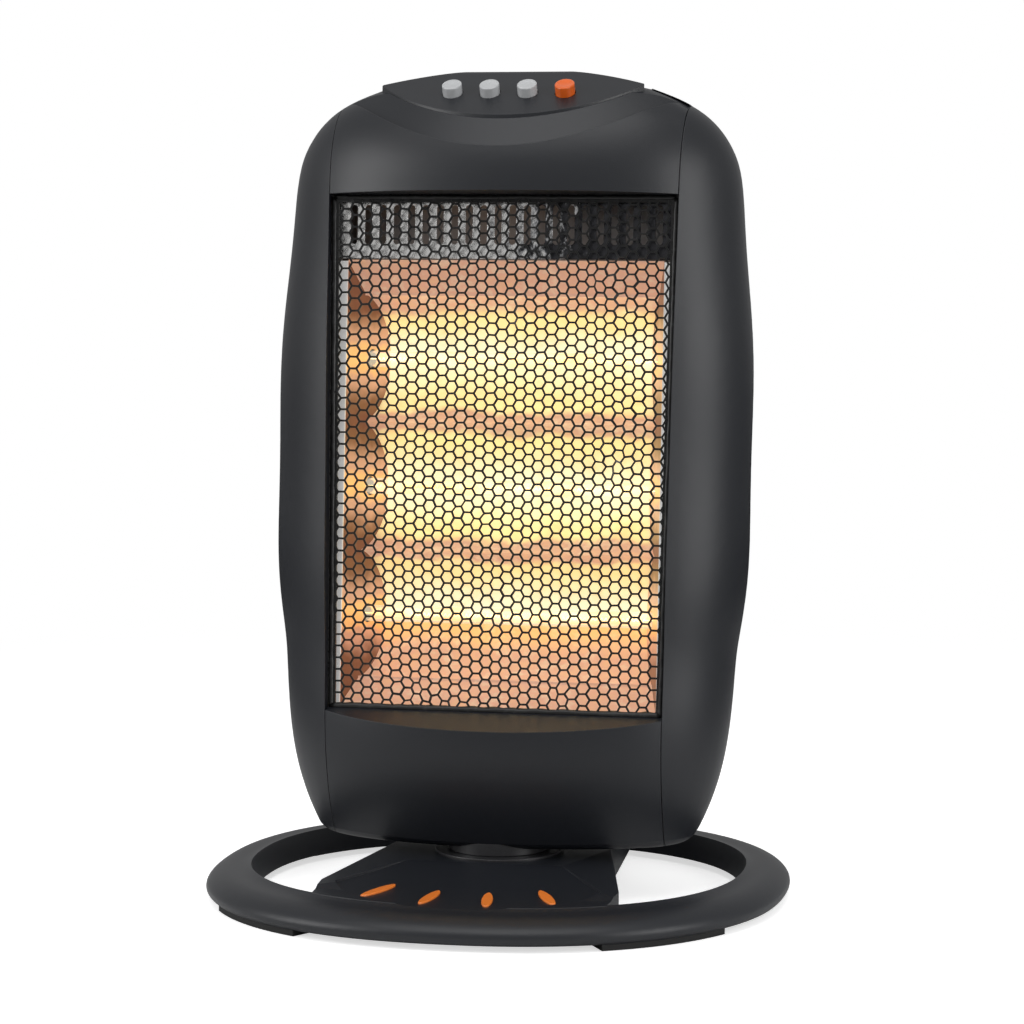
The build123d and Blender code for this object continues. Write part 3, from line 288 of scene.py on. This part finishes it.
RIPPLE_SCALE = 28.0
RIPPLE_DEPTH = 1.2 * MM
WOBBLE = 16 * MM
GLOW_PATCH_SCALE = 90.0
GLOW_PATCH_GAIN = 1.2
END_FADE_START = 16 * MM
END_FADE_STOP = 2 * MM
REFLECTOR_METAL = 0.3
REFLECTOR_GLOW = 0.55


def height_stops():
    """The glow's colours from the reflector's bottom to its top, pale at the tubes."""
    low, high = reflector_low.z, reflector_high.z
    span = high - low
    bottom, middle, top = tube_heights
    lower_ridge = (bottom + middle) / 2
    upper_ridge = (middle + top) / 2
    places = [
        (low, PINK),
        (bottom - 26 * MM, PINK),
        (bottom - 8 * MM, AMBER),
        (bottom + 4 * MM, PALE),
        (lower_ridge - 9 * MM, YELLOW),
        (lower_ridge - 3 * MM, RIDGE),
        (lower_ridge + 4 * MM, RIDGE),
        (lower_ridge + 11 * MM, YELLOW),
        (middle, PALE),
        (upper_ridge - 10 * MM, YELLOW),
        (upper_ridge - 3 * MM, RIDGE),
        (upper_ridge + 4 * MM, RIDGE),
        (upper_ridge + 11 * MM, YELLOW),
        (top + 6 * MM, PALE),
        (top + 24 * MM, YELLOW),
        (top + 34 * MM, PINK),
        (high, PINK),
    ]
    return [((z - low) / span, colour) for z, colour in places]


def glowing_reflector():
    """Polished sheet with the tubes' light on it as painted glow, and painted shade darker towards
    its ends and where it ripples.
    """
    material, n, shader = new_material("reflector_glow")
    coords = n.upright_coords()
    split = n.add("SeparateXYZ", Vector=coords)
    ripple = n.noise(coords, RIPPLE_SCALE, 3.0, 0.6)
    wobble = n.math("MULTIPLY_ADD", ripple, WOBBLE, -WOBBLE / 2)
    z = n.math("ADD", split.outputs["Z"], wobble)
    span = reflector_high.z - reflector_low.z
    share = n.math("DIVIDE", n.math("SUBTRACT", z, reflector_low.z), span)
    colour = n.ramp(share, height_stops())
    # Painted shade: the glow fades to pink towards the ends
    across = n.math("ABSOLUTE", split.outputs["X"])
    ends = n.add("MapRange", Value=across)
    ends.inputs["From Min"].default_value = reflector_high.x - END_FADE_START
    ends.inputs["From Max"].default_value = reflector_high.x - END_FADE_STOP
    colour = n.mix(ends.outputs["Result"], colour, PINK)
    # Patches of painted glow, paler in some places and more amber in others
    glow_patches = n.noise(coords, GLOW_PATCH_SCALE, 3.0, 0.7)
    patchy = n.math("MULTIPLY", n.math("SUBTRACT", glow_patches, 0.5), GLOW_PATCH_GAIN)
    other_patches = n.math("MULTIPLY", patchy, -1.0)
    colour = n.mix(n.math("MAXIMUM", patchy, 0.0), colour, PALE)
    colour = n.mix(n.math("MAXIMUM", other_patches, 0.0), colour, AMBER)
    n.tree.links.new(colour, shader.inputs["Base Color"])
    n.tree.links.new(colour, shader.inputs["Emission Color"])
    shader.inputs["Emission Strength"].default_value = REFLECTOR_GLOW
    shader.inputs["Metallic"].default_value = REFLECTOR_METAL
    n.tree.links.new(n.math("MULTIPLY_ADD", ripple, 0.2, 0.25), shader.inputs["Roughness"])
    bump(n, shader, ripple, RIPPLE_DEPTH)
    return material


GLOW_MOTTLE_SCALE = 45.0
MOTTLE_DEPTH = 0.8 * MM
GLOW_MOTTLE_SPREAD = 0.5
END_GLOW_REACH = 40 * MM
END_GLOW = 0.3
END_METAL = 0.4
END_ROUGH = 0.35
RIM_BLEND = 0.2 * MM


def glowing_end():
    """The splayed ends in painted glow: ember brown, brighter round each tube."""
    material, n, shader = new_material("reflector_end_glow")
    coords = n.upright_coords()
    split = n.add("SeparateXYZ", Vector=coords)
    nearest = None
    for z in tube_heights:
        away = n.math("ABSOLUTE", n.math("SUBTRACT", split.outputs["Z"], z))
        nearest = away if nearest is None else n.math("MINIMUM", nearest, away)
    # Noise that mottles the painted glow and gives the sheet a faint relief
    glow_mottle = n.noise(coords, GLOW_MOTTLE_SCALE, 3.0, 0.6)
    shift = n.math("MULTIPLY_ADD", glow_mottle, GLOW_MOTTLE_SPREAD, -GLOW_MOTTLE_SPREAD / 2)
    share = n.math("ADD", n.math("DIVIDE", nearest, END_GLOW_REACH), shift)
    colour = n.ramp(share, [(0.0, AMBER), (0.12, AMBER), (0.3, PINK), (0.75, EMBER)])
    # A pale rim along the front edge: the sheet's pale metal, emitted with the rest as painted
    # glow
    rim = n.add("MapRange", Value=split.outputs["Y"])
    rim.inputs["From Min"].default_value = reflector_low.y + RIM_BLEND
    rim.inputs["From Max"].default_value = reflector_low.y - RIM_BLEND
    colour = n.mix(rim.outputs["Result"], colour, BRIGHT_SHEET)
    n.tree.links.new(colour, shader.inputs["Base Color"])
    n.tree.links.new(colour, shader.inputs["Emission Color"])
    shader.inputs["Emission Strength"].default_value = END_GLOW
    shader.inputs["Metallic"].default_value = END_METAL
    shader.inputs["Roughness"].default_value = END_ROUGH
    bump(n, shader, glow_mottle, MOTTLE_DEPTH)
    return material


guard_low, guard_high = upright_box("grille")

STREAK_SCALE = 150.0
STREAK_STRETCH = (1.0, 1.0, 0.55)
STREAK_DEPTH = 0.5 * MM
BRIGHTER_LEFT = 1.1
STRIP_METAL = 0.85
STRIP_DARK = (0.05, 0.05, 0.055)
STRIP_GREY = (0.60, 0.60, 0.61)
STRIP_BRIGHT = (1.0, 0.99, 0.97)


def crumpled_chrome():
    """Thin bright sheet with a painted reflection: the dark streaks of what it mirrors, and
    painted light brighter towards the left.
    """
    material, n, shader = new_material("bright_strip")
    coords = n.upright_coords()
    mapping = n.add("Mapping", Vector=coords)
    mapping.inputs["Scale"].default_value = STREAK_STRETCH
    # Streaks of painted reflection, also used for the sheet's roughness and relief
    streak = n.noise(mapping.outputs["Vector"], STREAK_SCALE, 5.0, 0.75)
    side = n.add("SeparateXYZ", Vector=coords).outputs["X"]
    # Painted light: the sheet is brighter towards the left
    painted_left_light = n.math("MULTIPLY_ADD", side, -BRIGHTER_LEFT / (2 * guard_high.x), 0.0)
    stops = [(0.34, STRIP_DARK), (0.42, STRIP_GREY), (0.50, STRIP_BRIGHT)]
    colour = n.ramp(n.math("ADD", streak, painted_left_light), stops)
    n.tree.links.new(colour, shader.inputs["Base Color"])
    shader.inputs["Metallic"].default_value = STRIP_METAL
    n.tree.links.new(n.math("MULTIPLY_ADD", streak, 0.2, 0.08), shader.inputs["Roughness"])
    bump(n, shader, streak, STREAK_DEPTH, SHEET_ROUND)
    return material


QUARTZ_CLOUD_SCALE = 60.0
QUARTZ_ROUGH = 0.03
QUARTZ_IOR = 1.45
QUARTZ_GLOW = 0.12


def quartz():
    """Clear quartz with a faint warm cloud inside."""
    material, n, shader = new_material("clear_quartz")
    cloud = n.noise(n.object_coords(), QUARTZ_CLOUD_SCALE)
    colour = n.ramp(cloud, [(0.3, (1.0, 0.90, 0.70)), (0.7, (1.0, 0.97, 0.88))])
    n.tree.links.new(colour, shader.inputs["Base Color"])
    shader.inputs["Transmission Weight"].default_value = 1.0
    shader.inputs["Roughness"].default_value = QUARTZ_ROUGH
    shader.inputs["IOR"].default_value = QUARTZ_IOR
    n.tree.links.new(colour, shader.inputs["Emission Color"])
    shader.inputs["Emission Strength"].default_value = QUARTZ_GLOW
    return material


HEAT_SCALE = 40.0
WIRE_GLOW = 2.0


def hot_wire():
    """Heating wire, yellow-white hot with slightly cooler stretches."""
    material, n, shader = new_material("hot_wire")
    heat = n.noise(n.object_coords(), HEAT_SCALE, 1.0)
    colour = n.ramp(heat, [(0.3, (1.0, 0.62, 0.15)), (0.7, (1.0, 0.88, 0.50))])
    n.tree.links.new(colour, shader.inputs["Base Color"])
    n.tree.links.new(colour, shader.inputs["Emission Color"])
    shader.inputs["Emission Strength"].default_value = WIRE_GLOW
    return material


SPECK_SCALE = 300.0
SPECK_DEPTH = 0.05 * MM
CERAMIC_ROUGH = 0.35
CERAMIC_ROUND = 0.4 * MM


def ceramic():
    """Off-white glazed ceramic with fine specks."""
    material, n, shader = new_material("glazed_ceramic")
    speck = n.noise(n.object_coords(), SPECK_SCALE, 3.0, 0.7)
    colour = n.ramp(speck, [(0.3, (0.62, 0.55, 0.45)), (0.6, (0.82, 0.78, 0.70))])
    n.tree.links.new(colour, shader.inputs["Base Color"])
    shader.inputs["Roughness"].default_value = CERAMIC_ROUGH
    bump(n, shader, speck, SPECK_DEPTH, CERAMIC_ROUND)
    return material


RUB_SCALE = 220.0
RUB_DEPTH = 0.08 * MM


def wire_paint():
    """Black baked paint on the guard, greyer where it is rubbed."""
    material, n, shader = new_material("guard_paint")
    rub = n.noise(n.object_coords(), RUB_SCALE, 4.0, 0.7)
    colour = n.ramp(rub, [(0.5, (0.003, 0.003, 0.003)), (0.8, (0.03, 0.03, 0.032))])
    n.tree.links.new(colour, shader.inputs["Base Color"])
    n.tree.links.new(n.math("MULTIPLY_ADD", rub, 0.25, 0.25), shader.inputs["Roughness"])
    bump(n, shader, rub, RUB_DEPTH)
    return material


# Base colours of the plain finishes
CASING = (0.0078, 0.0092, 0.0128)
RUBBER = (0.012, 0.012, 0.012)
INSERT_ORANGE = (0.86, 0.22, 0.03)
INNER_BLACK = (0.015, 0.015, 0.015)
DARK_ZINC = (0.22, 0.22, 0.23)
SLIP_BLACK = (0.018, 0.018, 0.02)
STEEL = (0.45, 0.46, 0.47)
MOTOR_METAL = (0.45, 0.45, 0.46)
SILVER = (0.50, 0.51, 0.52)
BUTTON_ORANGE = (0.78, 0.13, 0.012)
SLEEVE = (0.55, 0.53, 0.50)
ALONG_X = (0.1, 1.0, 1.0)

FINISHES = {
    # The edge values set how strong the painted edge highlight is
    "casing": moulded("charcoal_casing", CASING, 0.42, edge=0.5),
    "rubber": moulded(
        "black_rubber", RUBBER, 0.8, grain=RUBBER_GRAIN_SCALE, depth=RUBBER_GRAIN_DEPTH, edge=0.1
    ),
    "orange_trim": moulded("orange_insert", INSERT_ORANGE, 0.3, edge=0.1, coat=0.3),
    "inner_plastic": moulded("black_inner_plastic", INNER_BLACK, 0.55),
    "screw_steel": metal("dark_zinc", DARK_ZINC, 0.3),
    "disc_plastic": moulded("slip_plastic", SLIP_BLACK, 0.35),
    "steel_plain": metal("plain_steel", STEEL, 0.3, stretch=ALONG_X),
    "motor_case": metal("motor_case", MOTOR_METAL, 0.3),
    "button_silver": moulded("button_silver", SILVER, 0.32, edge=0.1, coat=0.2),
    "button_orange": moulded("button_orange", BUTTON_ORANGE, 0.32, edge=0.1, coat=0.2),
    "grille_black": wire_paint(),
    "reflector_bright": glowing_reflector(),
    "ceramic": ceramic(),
    "quartz": quartz(),
    "filament_wire": hot_wire(),
    "wire_cover": moulded("wire_sleeve", SLEEVE, 0.6),
}
ENDS = glowing_end()
CHROME = crumpled_chrome()
OWN_FINISH = {"reflector_end_left": ENDS, "reflector_end_right": ENDS, "slotted_strip": CHROME}


def dress_nodes():
    """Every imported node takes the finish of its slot."""
    slot_of = {part["node"]: part["material_slot"] for part in record["subparts"]}
    for name, obj in nodes.items():
        finish = OWN_FINISH.get(name, FINISHES[slot_of[name]])
        if not obj.material_slots:
            obj.data.materials.append(finish)
        for place in obj.material_slots:
            place.material = finish


dress_nodes()

# New pieces


def add_piece(name, bm, finish, body, smooth=False):
    """Turns a bmesh in the head's upright frame into a piece that rides on a body."""
    bmesh.ops.transform(bm, matrix=TO_PLACE, verts=bm.verts)
    mesh = bpy.data.meshes.new(name)
    bm.to_mesh(mesh)
    bm.free()
    for face in mesh.polygons:
        face.use_smooth = smooth
    mesh.materials.append(finish)
    piece = bpy.data.objects.new(name, mesh)
    bpy.context.scene.collection.objects.link(piece)
    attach(piece, body)
    return piece


GUARD_Y = guard_low.y
CELL_PITCH = 12.2 * MM
CELL_HEIGHT = 7.2 * MM
CELL_REACH = CELL_PITCH / 3
STRAND = 1.2 * MM
GUARD_SHEET = 0.9 * MM
GUARD_SET_BACK = 0.5 * MM
SAME_PLACE = 0.3 * MM
STILL_MARGIN = 8 * MM
DENT_FORWARD = 1.3
DENT_UPWARD = 0.8

SLOW_DENT_REACH = 38 * MM
SLOW_DENT_MM = 1.3
SHARP_DENT_REACH = 9 * MM
SHARP_DENT_MM = 0.35
DENTED_REACH = 45 * MM
DENTED_FROM = 0.18
DENTED_GAIN = 4.0
CRUMPLE_SEED = 1
noise.seed_set(CRUMPLE_SEED)


def crumple(point):
    """How far the guard's sheet is pushed about at a place: slow dents, and a few sharp ones."""
    slow = noise.noise_vector(Vector((point.x, 0.0, point.z)) / SLOW_DENT_REACH)
    sharp = noise.noise_vector(Vector((point.x, 0.3, point.z)) / SHARP_DENT_REACH)
    where = noise.noise(Vector((point.x, 0.7, point.z)) / DENTED_REACH)
    dents = max(0.0, where - DENTED_FROM) * DENTED_GAIN
    return slow * SLOW_DENT_MM * MM + sharp * (SHARP_DENT_MM + dents) * MM


def guard_half(z):
    """Half the guard's width at a height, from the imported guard's slightly tapered sides."""
    points = [TO_UPRIGHT @ v.co for v in nodes["grille"].data.vertices]
    lowest = [abs(p.x) for p in points if p.z < guard_low.z + MM]
    low = min(x for x in lowest if x > guard_high.x * 0.9)
    share = (z - guard_low.z) / (guard_high.z - guard_low.z)
    return low + (guard_high.x - low) * share


def hex_sheet():
    """The pierced sheet of the guard: strips left round rows of six-sided cells."""
    bm = bmesh.new()
    columns = int(guard_high.x / (CELL_PITCH / 2)) + 1
    rows = int((guard_high.z - guard_low.z) / CELL_HEIGHT) + 2
    stretch = Matrix.Diagonal((1.0, 1.0, CELL_HEIGHT / (CELL_REACH * math.sqrt(3)), 1.0))
    pointed_sideways = Matrix.Rotation(math.radians(90), 4, "Z")
    flat = stretch @ Matrix.Rotation(math.radians(90), 4, "X") @ pointed_sideways
    for i in range(-columns, columns + 1):
        for j in range(rows):
            x = i * CELL_PITCH / 2
            z = guard_low.z + (j + (i % 2) / 2) * CELL_HEIGHT
            place = Matrix.Translation((x, 0.0, z)) @ flat
            bmesh.ops.create_circle(bm, cap_ends=True, segments=6, radius=CELL_REACH, matrix=place)
    bmesh.ops.remove_doubles(bm, verts=bm.verts, dist=SAME_PLACE)
    bmesh.ops.inset_individual(bm, faces=bm.faces, thickness=STRAND / 2, use_even_offset=True)
    openings = [face for face in bm.faces if len(face.verts) == 6]
    bmesh.ops.delete(bm, geom=openings, context="FACES_ONLY")
    low_half = guard_half(guard_low.z)
    taper = Vector((guard_high.z - guard_low.z, 0.0, -(guard_high.x - low_half)))
    cuts = [
        (Vector((low_half, 0.0, guard_low.z)), taper),
        (Vector((-low_half, 0.0, guard_low.z)), Vector((-taper.x, 0.0, taper.z))),
        (Vector((0.0, 0.0, guard_low.z)), Vector((0.0, 0.0, -1.0))),
        (Vector((0.0, 0.0, guard_high.z)), Vector((0.0, 0.0, 1.0))),
    ]
    for place, way in cuts:
        everything = bm.verts[:] + bm.edges[:] + bm.faces[:]
        bmesh.ops.bisect_plane(bm, geom=everything, plane_co=place, plane_no=way, clear_outer=True)
    for vert in bm.verts:
        shift = crumple(vert.co)
        edge_share = min(1.0, (guard_high.x - abs(vert.co.x)) / STILL_MARGIN)
        vert.co.x += shift.x * edge_share
        vert.co.z += shift.z * DENT_UPWARD
        vert.co.y = GUARD_Y + GUARD_SET_BACK + abs(shift.y) * DENT_FORWARD
    piece = add_piece("wire_guard", bm, FINISHES["grille_black"], "head")
    thick = piece.modifiers.new("sheet", "SOLIDIFY")
    thick.thickness = GUARD_SHEET
    thick.offset = 0.0
    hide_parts("grille")
    return piece


ROLL_SIDES = 10
ROLL_STEP = 3 * MM
LUMP_REACH = 5 * MM
LUMP_SHARE = 0.28
LUMP_SEED_STEP = 7.3
ROLL_RADIUS = {"bottom": 2.4 * MM, "top": 1.5 * MM, "side": 1.7 * MM}
ROLL_SET_BACK = 1.2 * MM


def rolled_edge(start, end, radius, seed):
    """One edge of the guard, rolled over into a lumpy roll."""
    start = Vector(start)
    end = Vector(end)
    way = end - start
    length = way.length
    bm = bmesh.new()
    bmesh.ops.create_cone(
        bm, cap_ends=True, segments=ROLL_SIDES, radius1=radius, radius2=radius, depth=length
    )
    long_edges = [e for e in bm.edges if abs(e.verts[0].co.z - e.verts[1].co.z) > length / 2]
    cuts = int(length / ROLL_STEP)
    bmesh.ops.subdivide_edges(bm, edges=long_edges, cuts=cuts, use_grid_fill=True)
    for vert in bm.verts:
        place = Vector((vert.co.x * 3, vert.co.y * 3 + seed, vert.co.z))
        squeeze = 1.0 + LUMP_SHARE * noise.noise(place / LUMP_REACH)
        vert.co.x *= squeeze
        vert.co.y *= squeeze
    turn = way.to_track_quat("Z", "Y").to_matrix().to_4x4()
    bmesh.ops.transform(bm, matrix=Matrix.Translation((start + end) / 2) @ turn, verts=bm.verts)
    return bm


def guard_rim():
    """The rolled rim on the four sides of the guard, one piece."""
    side_roll = ROLL_RADIUS["side"]
    low_x = guard_half(guard_low.z) - side_roll
    high_x = guard_high.x - side_roll
    bottom_z = guard_low.z + ROLL_RADIUS["bottom"]
    top_z = guard_high.z - ROLL_RADIUS["top"]
    side_low_z = guard_low.z + side_roll
    side_high_z = guard_high.z - side_roll
    y = GUARD_Y + ROLL_SET_BACK
    sides = [
        ((-low_x, y, bottom_z), (low_x, y, bottom_z), "bottom"),
        ((-high_x, y, top_z), (high_x, y, top_z), "top"),
        ((-low_x, y, side_low_z), (-high_x, y, side_high_z), "side"),
        ((low_x, y, side_low_z), (high_x, y, side_high_z), "side"),
    ]
    whole = bmesh.new()
    for count, (start, end, kind) in enumerate(sides):
        part = rolled_edge(start, end, ROLL_RADIUS[kind], count * LUMP_SEED_STEP)
        mesh = bpy.data.meshes.new("roll")
        part.to_mesh(mesh)
        part.free()
        whole.from_mesh(mesh)
        bpy.data.meshes.remove(mesh)
    paint = FINISHES["grille_black"]
    return add_piece("guard_rim", whole, paint, "head", smooth=True)


COIL_TURNS = 64
COIL_STEPS = 10
COIL_WIRE = 0.32 * MM
COIL_SLACK = 0.25 * MM
COLD_END = 14 * MM


def heating_coil(name):
    """The coiled wire of one tube on its straight leads."""
    node = "filament_" + name
    low, high = upright_box(node)
    tube_low, tube_high = upright_box("quartz_tube_" + name)
    centre = (tube_low + tube_high) / 2
    radius = (high.z - low.z) / 2 - COIL_SLACK
    half = (tube_high.x - tube_low.x) / 2 - COLD_END
    bm = bmesh.new()
    start = Matrix.Translation((-half, 0.0, radius))
    ring = bmesh.ops.create_circle(bm, cap_ends=False, segments=6, radius=COIL_WIRE, matrix=start)
    pitch = 2 * half / COIL_TURNS
    bmesh.ops.spin(
        bm,
        geom=ring["verts"] + bm.edges[:],
        cent=(0.0, 0.0, 0.0),
        axis=(1.0, 0.0, 0.0),
        dvec=(pitch / COIL_STEPS, 0.0, 0.0),
        angle=2 * math.pi * COIL_TURNS,
        steps=COIL_STEPS * COIL_TURNS,
    )
    open_edges = [e for e in bm.edges if e.is_boundary]
    bmesh.ops.holes_fill(bm, edges=open_edges, sides=8)
    for side in (-1, 1):
        length = high.x - half
        middle = Matrix.Translation((side * (half + length / 2), 0.0, 0.0))
        place = middle @ Matrix.Rotation(math.radians(90), 4, "Y")
        wide = COIL_WIRE
        bmesh.ops.create_cone(
            bm, cap_ends=True, segments=8, radius1=wide, radius2=wide, depth=length, matrix=place
        )
    bmesh.ops.recalc_face_normals(bm, faces=bm.faces)
    bmesh.ops.translate(bm, vec=Vector((0.0, centre.y, centre.z)), verts=bm.verts)
    glow = FINISHES["filament_wire"]
    piece = add_piece("coil_" + name, bm, glow, "head", smooth=True)
    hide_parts(node)


hex_sheet()
guard_rim()
for tube_name in TUBES:
    heating_coil(tube_name)

# Floor, light and camera

FLOOR_TONE = (0.86, 0.86, 0.86)
FLOOR_LIFT = 0.62
FLOOR_NEAR = 0.25
FLOOR_FAR = 1.2
FLOOR_SIZE = 6.0
FLOOR_ROUGH = 0.9
PAPER_SCALE = 400.0
PAPER_DARK = 0.98
WHITE = (1.0, 1.0, 1.0, 1.0)
WORLD_LIGHT = 0.45


def studio_floor():
    """A pale floor that reads white to the camera and keeps the soft shadow near the heater."""
    bm = bmesh.new()
    bmesh.ops.create_grid(bm, x_segments=1, y_segments=1, size=FLOOR_SIZE)
    mesh = bpy.data.meshes.new("studio_floor")
    bm.to_mesh(mesh)
    bm.free()
    material, n, shader = new_material("floor_paper")
    coords = n.object_coords()
    paper = n.noise(coords, PAPER_SCALE)
    tone = n.mix(paper, tuple(c * PAPER_DARK for c in FLOOR_TONE), FLOOR_TONE)
    away = n.tree.nodes.new("ShaderNodeVectorMath")
    away.operation = "LENGTH"
    n.tree.links.new(coords, away.inputs[0])
    far = n.add("MapRange", Value=away.outputs["Value"])
    far.inputs["From Min"].default_value = FLOOR_NEAR
    far.inputs["From Max"].default_value = FLOOR_FAR
    far.interpolation_type = "SMOOTHSTEP"
    faded = n.mix(far.outputs["Result"], tone, (0.0, 0.0, 0.0))
    n.tree.links.new(faded, shader.inputs["Base Color"])
    seen = n.add("LightPath").outputs["Is Camera Ray"]
    lift = n.math("MULTIPLY_ADD", far.outputs["Result"], 1.0 - FLOOR_LIFT, FLOOR_LIFT)
    n.tree.links.new(n.math("MULTIPLY", lift, seen), shader.inputs["Emission Strength"])
    shader.inputs["Emission Color"].default_value = WHITE
    shader.inputs["Roughness"].default_value = FLOOR_ROUGH
    shader.inputs["Specular IOR Level"].default_value = 0.0
    mesh.materials.append(material)
    floor = bpy.data.objects.new("studio_floor", mesh)
    bpy.context.scene.collection.objects.link(floor)


def studio_world():
    """White to the camera and through glass, a softer grey as light."""
    world = bpy.data.worlds.new("studio")
    bpy.context.scene.world = world
    world.use_nodes = True
    tree = world.node_tree
    background = tree.nodes["Background"]
    background.inputs["Color"].default_value = WHITE
    path = tree.nodes.new("ShaderNodeLightPath")
    seen = tree.nodes.new("ShaderNodeMath")
    seen.operation = "MAXIMUM"
    tree.links.new(path.outputs["Is Camera Ray"], seen.inputs[0])
    tree.links.new(path.outputs["Is Transmission Ray"], seen.inputs[1])
    scale = tree.nodes.new("ShaderNodeMapRange")
    scale.inputs["To Min"].default_value = WORLD_LIGHT
    scale.inputs["To Max"].default_value = 1.0
    tree.links.new(seen.outputs[0], scale.inputs["Value"])
    tree.links.new(scale.outputs["Result"], background.inputs["Strength"])


LIT_PLACE = (0.0, 0.0, 0.27)
SOFTBOXES = (
    ("soft_left", (-1.6, -0.9, 0.9), (0.9, 1.4), 16.0),
    ("soft_right", (1.7, -0.7, 0.7), (0.7, 1.4), 14.0),
    ("soft_top", (0.0, -0.5, 2.0), (1.6, 1.2), 12.0),
)


def softbox(name, place, size, watts):
    """A flat soft lamp that faces the heater."""
    lamp = bpy.data.lights.new(name, "AREA")
    lamp.shape = "RECTANGLE"
    lamp.size = size[0]
    lamp.size_y = size[1]
    lamp.energy = watts
    obj = bpy.data.objects.new(name, lamp)
    bpy.context.scene.collection.objects.link(obj)
    obj.location = place
    way = Vector(LIT_PLACE) - Vector(place)
    obj.rotation_euler = way.to_track_quat("-Z", "Y").to_euler()


# Angles in degrees, range and height in metres, lens and sensor in millimetres
VIEW_TURN = 12.08
CAMERA_YAW = -0.223
CAMERA_PITCH = 5.734
CAMERA_RANGE = 2.0263
CAMERA_HEIGHT = 0.4371
CAMERA_LENS = 118.1
SENSOR_WIDTH = 36.0


def photo_camera():
    """The camera at the photograph's place."""
    camera = bpy.data.cameras.new("photo_camera")
    camera.sensor_width = SENSOR_WIDTH
    camera.lens = CAMERA_LENS
    obj = bpy.data.objects.new("photo_camera", camera)
    bpy.context.scene.collection.objects.link(obj)
    turn = math.radians(VIEW_TURN)
    obj.location = (CAMERA_RANGE * math.sin(turn), -CAMERA_RANGE * math.cos(turn), CAMERA_HEIGHT)
    heading = turn + math.radians(CAMERA_YAW)
    obj.rotation_euler = (math.radians(90.0 - CAMERA_PITCH), 0.0, heading)
    bpy.context.scene.camera = obj


studio_floor()
studio_world()
for softbox_values in SOFTBOXES:
    softbox(*softbox_values)
photo_camera()

bpy.context.scene.view_settings.view_transform = "Standard"
